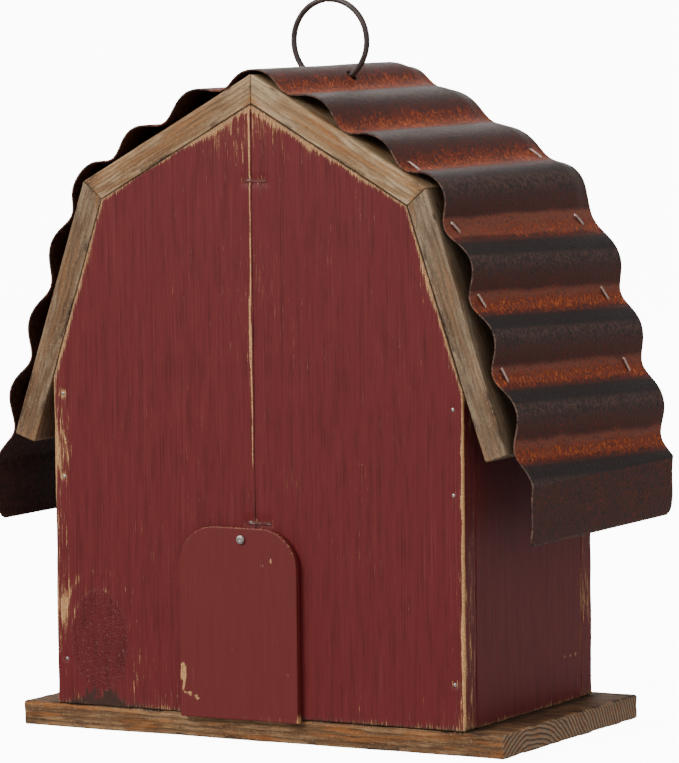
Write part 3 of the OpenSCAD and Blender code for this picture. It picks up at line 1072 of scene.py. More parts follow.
@dataclass
class GableWall:
    """One gable wall of two boards that meet at a seam."""

    lines: HouseLines
    paint: Material
    cleanout: bool
    hole_x: float
    hole_z: float
    hole_r: float
    seam_gap: float = -0.02
    staple_x: float = 1.4
    staple_heights: tuple[float, float] = (86.6, 220.5)
    brad_heights: tuple[float, ...] = (28.0, 101.2, 134.2)
    knot_at: tuple[float, float] = (72.0, 36.0)
    knot_size: tuple[float, float] = (13.5, 21.0)
    dirt_at: tuple[float, float] = (71.0, 11.0)
    dirt_size: tuple[float, float] = (21.0, 13.0)

    def outline(self) -> list[tuple[float, float]]:
        """The outline of one board.

        Returns:
            Its corners, from the seam outward.
        """
        h = self.lines
        lean = math.tan(h.upper) * self.seam_gap
        return [(self.seam_gap, h.base_high[2]), (h.half_w, h.base_high[2]), (h.half_w, h.shoulder_z),
            (h.inner_knee[0], h.inner_knee[1]), (self.seam_gap, h.inner_peak_z - lean)]

    def under_roof(self, points: Array) -> Array:
        """How far points lie below the roof boards' inner faces.

        Args:
            points: points of a board.

        Returns:
            The distances.
        """
        h = self.lines
        a = (h.inner_peak_z - points[:, 1]) * math.cos(h.upper) - points[:, 0] * math.sin(h.upper)
        b = (h.inner_knee[1] - points[:, 1]) * math.cos(h.lower)
        b = b + (h.inner_knee[0] - points[:, 0]) * math.sin(h.lower)
        return np.clip(np.minimum(a, b), 0.0, None)

    def wear(self, board: Board, points: Array, marks: Array) -> dict[str, Array]:
        """Where the paint is rubbed, dirty or crackled, and where it is darkened as painted shade.

        Args:
            board: the board being made.
            points: its points.
            marks: True for points on the hole's wall.

        Returns:
            The values that the paint reads.
        """
        h = self.lines
        left = board.across[0] < 0
        u, v, w = points.T
        top = self.under_roof(points)
        low = v - h.base_high[2]
        out = h.half_w - u
        patch = noise(points, (16.0, 26.0, 30.0), board.seed + 40, 2)
        face = smooth(w, 1.0, 0.4)
        wear = 0.285 + 0.085 * patch
        wear += (0.40 + 0.20 * patch) * np.exp(-((top / (1.5 + 0.7 * patch)) ** 1.5))
        wear += 0.22 * np.exp(-low / 2.4)
        wear += 0.05 * smooth(u, 26.0, 2.0) * smooth(v, 60.0, 240.0)
        peak = smooth(np.hypot(u, v - h.inner_peak_z), 30.0, 8.0)
        wear += 0.09 * peak
        if left:
            line = smooth(np.abs(u - 1.1 - 0.3 * patch), 0.50, 0.15)
            wear += 0.40 * line * smooth(v, 88.0, 124.0)
            rubbed = smooth(out, 12.0, 0.5) * smooth(v, 26.0, 50.0) * smooth(v, 150.0, 118.0)
            streaks = noise(points, (1.1, 10.0, 9.0), board.seed + 42, 2)
            wear += (0.21 + 0.20 * streaks) * rubbed * face
        else:
            strip = smooth(out, 1.7, 0.5) * smooth(v, 138.0, 116.0) * face
            broken = noise(points, (2.0, 7.0, 9.0), board.seed + 41, 2)
            wear += 0.46 * strip * (0.75 + 0.9 * broken)
            wear += 0.10 * smooth(out, 6.0, 0.0)
        wear += 0.20 * smooth(out, 0.9, 0.2) * face
        for d in board.dimples:
            gap = np.hypot(np.clip(np.abs(u - d.across) - d.half_w, 0, None),
                np.clip(np.abs(v - d.along) - d.half_h, 0, None))
            wear += d.chipped * smooth(gap, 2.2, 0.2)
        stain = smooth(top, 5.0, 0.0) * 0.75 + 0.9 * smooth(low, 6.0, 0.0)
        if left:
            stain += 0.45 * smooth(out, 10.0, 0.0)
        # Darker at the bottom edge (dirt), and a thin line of painted shade where the wall meets the
        # roof boards
        grime_and_shade = 0.50 * np.exp(-low / 3.2) + 0.62 * smooth(top, 1.0, 0.25)
        # Painted shade: a dark line along the seam between the two boards
        grime_and_shade += 0.45 * smooth(u, 0.5, 0.1) * face
        knot = np.zeros(len(points))
        if self.cleanout and left:
            dist = np.hypot(*(((u, v) - vec(*self.knot_at)[:, None]) / vec(*self.knot_size)[:, None]))
            knot = smooth(dist, 1.08, 0.86)
            darkening = np.hypot(*(((u, v) - vec(*self.dirt_at)[:, None]) / vec(*self.dirt_size)[:, None]))
            below = smooth(darkening, 1.1, 0.2)
            grime_and_shade += (0.36 + 0.42 * noise(points, (1.6, 3.4, 9.0), 7, 3)) * below
            ring = np.exp(-(((dist - 0.97) / 0.05) ** 2)) + 0.6 * np.exp(-(((dist - 1.35) / 0.08) ** 2))
            wear += 0.14 * ring - 0.12 * knot
            grime_and_shade += 0.20 * np.exp(-(((dist - 1.08) / 0.05) ** 2))
        bare = (marks | (w > h.wall_t - 0.01)) * (w > 1.5) * 1.0
        return {"wear": wear, "stain": stain.clip(0, 1), "grime_and_shade": grime_and_shade, "knot": knot, "bare": bare}

    def build(self) -> None:
        """Makes both boards."""
        h = self.lines
        face_y = h.back_y if self.cleanout else h.front_y
        inward = vec(0.0, 1.0 if self.cleanout else -1.0, 0.0)
        word = "back" if self.cleanout else "front"
        for side, hand in ((-1, "left"), (1, "right")):
            dimples = []
            for z in self.staple_heights:
                dimples.append(Dimple(self.staple_x * side, z, 5.6, 0.55, 0.55, 0.12))
            for z in self.brad_heights:
                dimples.append(Dimple(h.half_w - 4.5, z, 0.6, 0.6, 0.22, 0.12))
            board = Board(name=f"{word}_wall_{hand}", node=f"{word}_board_{hand}",
                corners=self.outline(), thickness=h.wall_t, origin=vec(0.0, face_y, 0.0),
                across=vec(float(side), 0.0, 0.0), along=Z_AXIS, inward=inward, finish=self.paint,
                slot=Slot.RED_PAINT, notch=Notch(self.hole_x * side, self.hole_z, self.hole_r),
                radii=(0.5, 0.95, 0.4, 0.4, 0.28), tight=(4,), relief=0.12, seed=11 + 3 * (side + 1)
                + (0 if self.cleanout else 20), dimples=dimples, facts=self.wear)
            board.build()


@dataclass
class SideWall:
    """One side wall between the gable walls."""

    lines: HouseLines
    paint: Material
    side: int
    overlap: float = 0.02
    row_z: float = 26.0

    def wear(self, board: Board, points: Array, marks: Array) -> dict[str, Array]:
        """Where the paint is rubbed or dirty, and where it is darkened as painted shade under the eave.

        Args:
            board: the board being made.
            points: its points.
            marks: not used by a board with no hole.

        Returns:
            The values that the paint reads.
        """
        h = self.lines
        u, v, w = points.T
        low = v - h.base_high[2]
        patch = noise(points, (14.0, 30.0, 30.0), board.seed + 40, 2)
        wear = 0.22 + 0.05 * patch + 0.34 * np.exp(-low / 2.2)
        row = smooth(np.abs(v - self.row_z - 0.06 * u), 1.3, 0.4) * smooth(u, 12.0, 26.0)
        wear += 0.34 * row * smooth(np.sin(u * 1.25), 0.1, 0.7)
        grime_and_shade = 0.40 * np.exp(-low / 3.0)
        # Painted shade: darker towards the top of the side wall, under the roof's overhang
        grime_and_shade += 0.34 * smooth(v, h.shoulder_z - 38.0, h.shoulder_z)
        stain = 0.8 * smooth(low, 5.0, 0.0)
        bare = (w > h.wall_t - 0.01) * 1.0
        knot = np.zeros(len(points))
        return {"wear": wear, "stain": stain, "grime_and_shade": grime_and_shade, "knot": knot, "bare": bare}

    def build(self) -> None:
        """Makes the board."""
        h = self.lines
        near, far = h.back_y + h.wall_t - self.overlap, h.front_y - h.wall_t + self.overlap
        bottom, top = h.base_high[2], h.shoulder_z
        hand = "right" if self.side > 0 else "left"
        Board(name=f"side_wall_{hand}", node=f"side_board_{hand}",
            corners=[(near, bottom), (far, bottom), (far, top), (near, top)],
            tight=(1, 3), thickness=h.wall_t,
            origin=vec(self.side * h.half_w, 0.0, 0.0), across=Y_AXIS, along=Z_AXIS,
            inward=vec(-float(self.side), 0.0, 0.0), finish=self.paint, slot=Slot.RED_PAINT,
            inner_ends=(bottom, top + h.wall_t * math.tan(h.lower)), radii=(0.45, 0.35, 0.35, 0.35),
            relief=0.12, seed=31 + self.side, facts=self.wear).build()


@dataclass
class BaseBoard:
    """The base board, its grain along X."""

    lines: HouseLines
    wood: Material

    def grime_shade_and_ends(self, board: Board, points: Array, marks: Array) -> dict[str, Array]:
        """Where the base's top is darker: dirt all over it, and painted shade close to the walls.

        Args:
            board: the board being made.
            points: its points.
            marks: not used by a board with no hole.

        Returns:
            The values that the wood reads.
        """
        h = self.lines
        u, v, w = points.T
        gap_x = np.abs(v) - h.half_w
        gap_y = np.maximum(h.back_y - u, u - h.front_y)
        gap = np.hypot(np.clip(gap_x, 0, None), np.clip(gap_y, 0, None))
        # Dirt over the whole top face, and painted shade close to the walls
        grime_and_shade = np.where(w < 0.01, 0.45 + 0.9 * smooth(gap, 5.0, 0.3), 0.0)
        end = smooth(np.abs(v), self.lines.base_high[0] - 0.5, self.lines.base_high[0] - 0.2)
        return {"grime_and_shade": grime_and_shade, "end": end}

    def build(self) -> None:
        """Makes the board."""
        low, high = self.lines.base_low, self.lines.base_high
        Board(name="base", node="base_board",
            corners=[(low[1], low[0]), (high[1], low[0]), (high[1], high[0]), (low[1], high[0])],
            thickness=high[2] - low[2], origin=vec(0.0, 0.0, high[2]), across=Y_AXIS, along=X_AXIS,
            inward=vec(0.0, 0.0, -1.0), finish=self.wood, slot=Slot.BARE_WOOD, radius=1.5,
            unevenness=0.35, relief=0.28, relief_size=(3.2, 38.0), seed=51, facts=self.grime_shade_and_ends).build()


@dataclass
class RoofBoards:
    """The four mitred roof boards."""

    lines: HouseLines
    woods: dict[str, Material]
    ring_y: float
    pocket_half: float = 5.6
    pocket_reach: float = 9.6
    pocket_depth: float = 8.4

    def build(self) -> None:
        """Makes the boards, the two upper ones with a pocket for the ring."""
        h = self.lines
        for side, hand in ((-1, "left"), (1, "right")):
            for part in ("upper", "lower"):
                upper = part == "upper"
                angle = h.upper if upper else h.lower
                start, end = (h.peak, h.knee) if upper else (h.knee, h.eave)
                length = float(np.linalg.norm(end - start))
                mitre_a = math.tan(h.upper) if upper else math.tan(h.turn / 2)
                mitre_b = math.tan(h.turn / 2) if upper else 0.0
                Board(name=f"roof_{part}_{hand}", node=f"roof_board_{part}_{hand}",
                    corners=[(h.back_y, 0.0), (h.deck_y, 0.0), (h.deck_y, length), (h.back_y, length)],
                    thickness=h.roof_t, origin=np.array([side * start[0], 0.0, start[1]]),
                    across=Y_AXIS, along=vec(side * math.cos(angle), 0.0, -math.sin(angle)),
                    inward=vec(-side * math.sin(angle), 0.0, -math.cos(angle)),
                    finish=self.woods[f"{part}_{hand}"], slot=Slot.BARE_WOOD,
                    inner_ends=(h.roof_t * mitre_a, length - h.roof_t * mitre_b),
                    radii=(0.25, 0.55, 0.25 if upper else 0.7, 0.55), relief=0.20,
                    relief_size=(2.4, 30.0), step_across=1.6, step_along=1.6,
                    pocket=(self.ring_y, self.pocket_half, self.pocket_reach, self.pocket_depth)
                    if upper else None, seed=61 + 2 * side + (8 if upper else 0)).build()


# -------------------------------------------------------------- the roof sheet


@dataclass
class RoofSheet:
    """The bent corrugated sheet, a little skewed and uneven as laid by hand."""

    lines: HouseLines
    finish: Material
    ring_y: float
    corner_r: float = 3.0
    wave_pitch: float = 30.0
    wave_h: float = 5.4
    sheet_t: float = 0.6
    play: float = 0.1
    bend: float = 20.0
    eave_lap: float = 14.0
    hole_r: float = 2.3
    hole_out: float = 8.9
    skirt_in: float = 2.6
    skirt_drop: float = 24.0

    def __post_init__(self) -> None:
        """Works out the valley line's stations."""
        h = self.lines
        self.low, self.high = corner("roof_sheet", False), corner("roof_sheet", True)
        self.lift = self.play + self.sheet_t / 2
        knee = h.knee_out(self.lift)
        eave = h.eave + self.lift * vec(math.sin(h.lower), math.cos(h.lower))
        peak = vec(0.0, h.peak[1] + self.lift / math.cos(h.upper))
        bisector = (h.upper + h.lower) / 2
        self.peak_run = self.bend * h.upper
        knee_tangent = self.bend * math.tan(h.turn / 2)
        self.knee_start = (self.peak_run + float(np.linalg.norm(knee - peak)) - self.bend
            * math.tan(h.upper) - knee_tangent)
        self.knee_end = self.knee_start + self.bend * h.turn
        self.eave_run = self.knee_end + float(np.linalg.norm(eave - knee)) - knee_tangent
        self.waves = round((self.eave_run + self.eave_lap) / self.wave_pitch)
        self.pitch = (self.eave_run + self.eave_lap) / self.waves
        self.crest_end = self.waves * self.pitch
        self.peak_centre = peak - vec(0.0, self.bend / math.cos(h.upper))
        self.knee_centre = knee - self.bend / math.cos(h.turn
            / 2) * np.array([math.sin(bisector), math.cos(bisector)])

    def valley(self, s: Array) -> tuple[Array, Array]:
        """The valley line at distances from the ridge.

        Args:
            s: distances down the slope, not negative.

        Returns:
            The x and z there, and the slope's angle.
        """
        h = self.lines
        angle = np.where(s < self.peak_run, s / self.bend,
            np.where(s < self.knee_start, h.upper,
            np.where(s < self.knee_end, h.upper + (s - self.knee_start) / self.bend, h.lower)))
        out = np.stack([np.sin(angle), np.cos(angle)], -1)
        down = np.stack([np.cos(angle), -np.sin(angle)], -1)
        at_peak = self.peak_centre + self.bend * out + np.clip(s - self.peak_run, 0, None)[:,
            None] * down
        at_knee = self.knee_centre + self.bend * out + np.clip(s - self.knee_end, 0, None)[:,
            None] * down
        return np.where((s < self.knee_start)[:, None], at_peak, at_knee), angle

    def skew(self, s: Array, y: Array, side: int) -> tuple[Array, Array, Array]:
        """How the laid sheet differs from a perfect one.

        Args:
            s: distances from the ridge.
            y: places along the ridge.
            side: 1 for the +X slope, -1 for the other.

        Returns:
            The shift of the waves down the slope, the share of the wave's height
            that is left, and the gap under the sheet.
        """
        far = (y - self.low[1]) / (self.high[1] - self.low[1])
        reach = s / self.crest_end
        ridge = smooth(reach, 0.13, 0.0)
        upper = smooth(reach, 0.62, 0.45)
        if side > 0:
            shift = 5.5 * far * smooth(reach, 0.33, 0.62)
            gap = 2.3 * smooth(reach, 0.45, 0.58) * smooth(reach, 1.0, 0.9)
            flat = far * (0.16 + 0.24 * upper)
        else:
            shift = -2.2 * smooth(reach, 0.2, 0.42) * smooth(reach, 0.75, 0.55)
            gap = 2.2 * smooth(reach, 0.04, 0.12) - 1.0 * smooth(reach, 0.2, 0.36)
            gap = gap + 1.2 * smooth(reach, 0.42, 0.6)
            gap = gap * smooth(reach, 1.0, 0.86) * (1 - 0.4 * far)
            flat = far * (0.20 + 0.22 * ridge) + 0.32 * np.exp(-(((reach - 0.42) / 0.05) ** 2))
        share = 1.0 - flat - ridge * (0.24 - 0.18 * far)
        points = np.stack([s * side, y, np.zeros_like(s)], -1)
        share = share * (1 + 0.05 * noise(points, (24.0, 40.0, 1.0), 7, 2))
        droop = smooth(y, self.lines.deck_y - 4.0, self.high[1]) * smooth(reach, 0.58, 0.44)
        gap = gap - 2.2 * droop + 0.18 * (1 + noise(points, (30.0, 34.0, 1.0), 17, 2)) * smooth(reach,
            0.0, 0.1)
        return shift, share, gap

    def middle(self, s: Array, y: Array, side: int) -> tuple[Array, Array]:
        """The sheet's middle surface.

        Args:
            s: distances from the ridge.
            y: places along the ridge.
            side: 1 for the +X slope, -1 for the other.

        Returns:
            The points, and the wave's phase in turns.
        """
        s_in = np.minimum(s, self.crest_end)
        shift, share, gap = self.skew(s_in, y, side)
        phase = (s_in - shift) / self.pitch
        turn = 2 * math.pi * phase
        # Crests a little rounder above and steeper below than a plain wave
        crest = 0.5 * (1 + np.cos(turn - 0.16 * np.sin(turn)))
        spine, angle = self.valley(s_in)
        out = np.stack([np.sin(angle), np.cos(angle)], -1)
        flat = spine + (self.wave_h * share * crest + gap)[:, None] * out
        drop = np.clip(s - self.crest_end, 0, None)
        reach_down = drop / self.skirt_drop
        lean = self.skirt_in * reach_down * (0.6 + 0.4 * np.cos(reach_down * 5.0))
        x = flat[:, 0] - lean
        z = flat[:, 1] - drop
        return np.stack([side * x, y, z], -1), phase + drop / self.pitch

    def stations(self) -> tuple[Array, Array]:
        """Distances from the ridge and places along it where the mesh has points.

        Returns:
            The signed distances, and the places.
        """
        skirt = self.low[2]
        end, _ = self.middle(vec(self.crest_end), vec(0.0), 1)
        length = float(end[0, 2]) - skirt - 0.3
        near = np.arange(0.0, 14.0, 0.62)
        slope = np.linspace(14.0, self.crest_end, int((self.crest_end - 14.0) / 0.95))
        fall = self.crest_end + np.linspace(0.0, length, 20)[1:]
        right = np.concatenate([near, slope, fall])
        s = np.concatenate([-right[:0:-1], right])
        low, high = self.low[1], self.high[1]
        y = [low + EDGE_CLUSTER[:5] * 0.8, high - EDGE_CLUSTER[:5] * 0.8]
        y.append(np.arange(self.ring_y - 4.03, self.ring_y + 4.04, 0.62))
        y.append(np.linspace(low + 2.4, self.ring_y - 5.4, 28))
        y.append(np.linspace(self.ring_y + 5.4, high - 2.4, 28))
        return s, np.sort(np.concatenate(y))

    def build(self) -> Piece:
        """Makes the sheet with its two holes.

        Returns:
            The sheet's object.
        """
        s, y = self.stations()
        grid_s, grid_y = np.meshgrid(s, y, indexing="ij")
        rows, cols = grid_s.shape
        # Open the holes: snap the points round them onto a circle
        hole_s = self.hole_out
        inside = np.zeros((rows, cols), bool)
        for centre in (-hole_s, hole_s):
            d = np.hypot(grid_s - centre, grid_y - self.ring_y)
            inside |= d < self.hole_r * 0.86
            ring = (d >= self.hole_r * 0.86) & (d < self.hole_r * 1.18)
            pull = np.where(ring, self.hole_r / np.maximum(d, 1e-6), 1.0)
            grid_s = centre + (grid_s - centre) * pull
            grid_y = self.ring_y + (grid_y - self.ring_y) * pull
        # Round the corners of the skirts
        to_end = np.clip(np.abs(grid_s).max() - np.abs(grid_s), 0.0, self.corner_r)
        cut = self.corner_r - np.sqrt(self.corner_r**2 - (self.corner_r - to_end) ** 2)
        mid_y, half_y = (self.low[1] + self.high[1]) / 2, (self.high[1] - self.low[1]) / 2
        grid_y = mid_y + (grid_y - mid_y) * (1.0 - cut / half_y)
        flat_s, flat_y = grid_s.ravel(), grid_y.ravel()
        middle = np.zeros((rows * cols, 3))
        phase = np.zeros(rows * cols)
        for side in (-1, 1):
            mask = flat_s >= 0 if side > 0 else flat_s < 0
            middle[mask], phase[mask] = self.middle(np.abs(flat_s[mask]), flat_y[mask], side)
        net = middle.reshape(rows, cols, 3)
        du, dv = np.gradient(net, axis=0), np.gradient(net, axis=1)
        normal = np.cross(du, dv).reshape(-1, 3)
        normal /= np.linalg.norm(normal, axis=1)[:, None]
        normal *= np.sign(normal[:, 2] + 0.35 * np.sign(middle[:, 0]) * normal[:, 0])[:, None]
        half = self.sheet_t / 2
        points = np.concatenate([middle + half * normal, middle - half * normal])
        size = rows * cols
        quad = grid_quads(rows, cols)[1]
        quad = quad[~inside.ravel()[quad].any(1)]
        faces = [quad, quad[:, ::-1] + size]
        edges: dict[tuple[int, int], tuple[int, int]] = {}
        for q in quad.tolist():
            for a, b in zip(q, q[1:] + q[:1]):
                if (b, a) in edges:
                    del edges[(b, a)]
                else:
                    edges[(a, b)] = (a, b)
        rim = np.array(list(edges))
        faces.append(np.stack([rim[:, 1], rim[:, 0], rim[:, 0] + size, rim[:, 1] + size], -1))
        used = np.unique(np.concatenate(faces))
        renumber = np.full(2 * size, -1)
        renumber[used] = np.arange(len(used))
        facts = self.looks(flat_s, flat_y, phase, rim, size)
        facts = {key: values[used] for key, values in facts.items()}
        piece = make_piece("roof_sheet_skin", points[used], renumber[np.concatenate(faces)], facts,
            55.0, 0.0005)
        return place(piece, self.finish, Body.HOUSE, Slot.SHEET, "roof_sheet")

    def looks(self, s: Array, y: Array, phase: Array, rim: Array, size: int) -> dict[str, Array]:
        """Values that the rust reads.

        Args:
            s: signed distance of each point from the ridge.
            y: its place along the ridge.
            phase: its place on the wave, in turns.
            rim: the edges round the sheet and its holes.
            size: how many points each skin has.

        Returns:
            The named values, for the outer skin and then the inner one.
        """
        turn = phase - np.floor(phase)
        skirt = np.abs(s) > self.crest_end
        knee = np.exp(-(((np.abs(s) - self.knee_start - 24.0) / 12.0) ** 2))
        crest = smooth(turn, 0.30, 0.04) + smooth(turn, 0.84, 0.98)
        warm = smooth(turn, 0.0, 0.36) * smooth(turn, 0.84, 0.72)
        valley = smooth(turn, 0.26, 0.46) * smooth(turn, 0.70, 0.58)
        rust = smooth(turn, 0.02, 0.50) * smooth(turn, 0.78, 0.62)
        soot = smooth(turn, 0.66, 0.78) * smooth(turn, 1.00, 0.86)
        lower = smooth(np.abs(s), self.knee_start, self.knee_end)
        valley = valley * (0.52 + 0.5 * lower + 0.25 * knee)
        rust = rust * (1.0 - 0.30 * knee) * (1.0 - 0.55 * lower * smooth(turn, 0.54, 0.42))
        soot = soot * (0.45 + 0.55 * lower)
        crest, warm, valley, rust, soot = (np.where(skirt, flat, wave) for flat,
            wave in ((0.62, crest), (0.42, warm), (0.05, valley), (0.30, rust), (0.12, soot)))
        on_rim = np.zeros(size)
        on_rim[np.unique(rim)] = 1.0

        def both(values: Array) -> Array:
            """The same values for the outer and the inner skin."""
            return np.concatenate([values, values])

        slant = math.radians(38.0)
        brush = np.stack([y * math.cos(slant) + s * math.sin(slant), s * math.cos(slant) - y
            * math.sin(slant), 0 * s], -1)
        return {"grain": both(np.stack([y, s, 0.3 * s], -1)), "brush": both(brush),
            "crest": both(crest), "warm": both(warm), "valley": both(valley), "rust": both(rust),
            "soot": both(soot), "rim": both(on_rim),
            "under": np.concatenate([np.zeros(size), np.ones(size)])}


# ------------------------------------------------------------- ring and cover


@dataclass
class HangingRing:
    """The wire ring, its two ends almost touching near the top."""

    finish: Material
    wire_d: float = 2.4
    gap_deg: float = 1.0
    gap_turn: float = 97.0
    steps: int = 180
    around: int = 20

    def build(self) -> Piece:
        """Makes the ring.

        Returns:
            The ring's object.
        """
        low, high = corner("hanging_ring", False), corner("hanging_ring", True)
        centre = (low + high) / 2
        radius = (high[0] - low[0] - self.wire_d) / 2
        start = math.radians(self.gap_turn + self.gap_deg / 2)
        turn = start + np.linspace(0, math.radians(360 - self.gap_deg), self.steps)
        out = np.stack([np.cos(turn), np.zeros_like(turn), np.sin(turn)], -1)
        ends = np.minimum(np.arange(self.steps), np.arange(self.steps)[::-1])
        shrink = vec(0.80, 0.95)[np.clip(ends, 0, 1)] * (ends < 2) + 1.0 * (ends >= 2)
        angle = np.linspace(0, 2 * math.pi, self.around, endpoint=False)
        spots = out * radius
        wire = noise(spots, (9.0, 9.0, 9.0), 3, 2) * 0.03
        points, grain = [], []
        for k in range(self.steps):
            r = self.wire_d / 2 * shrink[k] * (1 - abs(wire[k]))
            circle = np.cos(angle)[:, None] * out[k] + np.sin(angle)[:, None] * Y_AXIS
            points.append(centre + spots[k] + r * circle)
            grain.append(
                np.stack([np.cos(angle), np.full(self.around, turn[k] * radius), np.sin(angle)], -1))
        points, grain = np.concatenate(points), np.concatenate(grain)
        faces = tube(self.steps, self.around)
        piece = make_piece("ring_wire", points, faces, {"grain": grain}, 50.0)
        return place(piece, self.finish, Body.RING, Slot.RING, "hanging_ring")


@dataclass
class CleanoutCover:
    """The painted cover that hangs on one nail."""

    paint: Material
    corner_r: float = 16.0
    arc_steps: int = 14

    def outline(self, half: float, low: float, high: float) -> list[tuple[float, float]]:
        """The cover's outline with its two round top corners.

        Args:
            half: half its width.
            low: its lower edge.
            high: its top edge.

        Returns:
            The corners in order.
        """
        r = self.corner_r
        points = [(-half, low), (half, low)]
        for sign, order in ((1, 1), (-1, -1)):
            for k in range(self.arc_steps + 1)[::order]:
                a = math.pi / 2 * k / self.arc_steps
                points.append((sign * (half - r + r * math.cos(a)), high - r + r * math.sin(a)))
        return points

    def wear(self, board: Board, points: Array, marks: Array) -> dict[str, Array]:
        """Where the cover's paint is chipped.

        Args:
            board: the board being made.
            points: its points.
            marks: not used by a board with no hole.

        Returns:
            The values that the paint reads.
        """
        u, v, w = points.T
        low = min(c[1] for c in board.corners)
        high = max(c[1] for c in board.corners)
        half = max(c[0] for c in board.corners)
        wear = np.full(len(points), 0.14)
        leg = smooth(np.hypot((u + half - 1.2) / 2.1, (v - low - 16.0) / 6.2), 1.25, 0.55)
        foot = np.hypot((u + half - 5.0) / 4.6, (v - low - 10.4 + 0.35 * (u + half)) / 1.5)
        flake = noise(points, (1.3, 1.7, 3.0), board.seed + 9, 3)
        wear += (0.42 + 0.40 * flake) * np.maximum(leg, smooth(foot, 1.25, 0.55))
        speckle = smooth(np.hypot((u + half - 4.5) / 4.5, (v - low - 18.0) / 5.5), 1.3, 0.4)
        wear += 0.22 * speckle
        strip = smooth(v - low, 5.0, 1.0) * smooth(u, -half + 8.0, half - 16.0)
        wear += 0.24 * strip
        for spot_u, spot_v in ((11.0, -14.5), (15.0, -12.5), (-3.0, -48.0), (22.0, -57.0)):
            wear += 0.36 * smooth(np.hypot(u - spot_u, (v - high - spot_v) * 0.8), 1.7, 0.3)
        rimmed = smooth(board_edge(board, points), 0.8, 0.15) * smooth(v, high - 26.0, high - 8.0)
        wear += 0.30 * rimmed * (w < 1.0)
        wear += 0.20 * smooth(half - u, 1.0, 0.3) * smooth(v, low + 22.0, low + 4.0)
        zero = np.zeros(len(points))
        return {"wear": wear, "stain": zero + 0.1, "grime_and_shade": zero, "knot": zero, "bare": zero}

    def build(self) -> Piece:
        """Makes the cover.

        Returns:
            The cover's object.
        """
        low, high = corner("cleanout_cover", False), corner("cleanout_cover", True)
        centre = (low + high) / 2
        half = (high[0] - low[0]) / 2
        return Board(name="cover_plate", node="cleanout_cover",
            corners=self.outline(half, low[2], high[2]), thickness=high[1] - low[1],
            origin=vec(centre[0], low[1], 0.0), across=X_AXIS, along=Z_AXIS, inward=Y_AXIS,
            finish=self.paint, slot=Slot.RED_PAINT, body=Body.COVER, radius=0.45, unevenness=0.3,
            relief=0.05, relief_size=(9.0, 40.0), step_across=0.9, step_along=1.1, seed=81,
            facts=self.wear).build()


def board_edge(board: Board, points: Array) -> Array:
    """Distance of points from the outline's sides.

    Args:
        board: the board.
        points: its points.

    Returns:
        The distance from the nearest side.
    """
    spots, normals = board.planes()
    depth = [(points - s) @ n for s, n in zip(spots[:-2], normals[:-2])]
    return np.abs(np.min(depth, axis=0))


# ------------------------------------------------------------------ fasteners


@dataclass
class Spot:
    """Where a fastener is driven: its head's top, its driving direction and its turn."""

    place: Array
    drive: Array
    crown: Array


@dataclass
class Lathe:
    """A nail or brad turned about its axis, from radius and depth pairs."""

    profile: list[tuple[float, float]]
    around: int = 20

    def make(self, spot: Spot) -> Mesh:
        """Points and faces of one nail.

        Args:
            spot: where it is driven.

        Returns:
            The points and the faces.
        """
        u = spot.crown
        v = np.cross(spot.drive, u)
        angle = np.linspace(0, 2 * math.pi, self.around, endpoint=False)
        rings = [spot.place + spot.drive * d + r
            * (np.cos(angle)[:, None] * u + np.sin(angle)[:, None] * v) for r, d in self.profile]
        return np.concatenate(rings), tube(len(rings), self.around)


@dataclass
class Staple:
    """A staple of flat wire, with rounded shoulders."""

    width: float
    leg: float
    wire_t: float = 0.6
    wire_w: float = 1.3
    shoulder: float = 0.7

    def make(self, spot: Spot) -> Mesh:
        """Points and faces of one staple.

        Args:
            spot: where it is driven; its crown lies along the spot's crown.

        Returns:
            The points and the faces.
        """
        side = np.cross(spot.drive, spot.crown)
        half, t, r = self.width / 2 - self.wire_t / 2, self.wire_t / 2, self.shoulder
        # One half of the wire's path: across, down, and the outward direction there
        legs = [(half, d, 1.0, 0.0) for d in (self.leg, self.leg * 0.6, self.leg * 0.3, r + t + 0.3)]
        bend = [(half - r + r * math.cos(a), t + r - r * math.sin(a), math.cos(a), -math.sin(a))
            for a in np.linspace(0, math.pi / 2, 6)]
        crown = [(x, t, 0.0, -1.0) for x in np.linspace(-half + r, half - r, 12)[1:-1]]
        path = [(-x, d, -nx, nd) for x, d, nx, nd in legs + bend] + crown + (legs + bend)[::-1]
        b, s = 0.16, []
        for su, sv in ((1, 1), (-1, 1), (-1, -1), (1, -1)):
            pair = [(su * (self.wire_w / 2 - b), sv * t), (su * self.wire_w / 2, sv * (t - b))]
            s += pair[::-1] if su * sv > 0 else pair
        rings = []
        for x, d, nx, nd in path:
            base = spot.place + spot.crown * x + spot.drive * d
            lift = spot.crown * nx + spot.drive * nd
            rings.append([base + side * a + lift * c for a, c in s])
        return np.array(rings).reshape(-1, 3), tube(len(path), len(s))


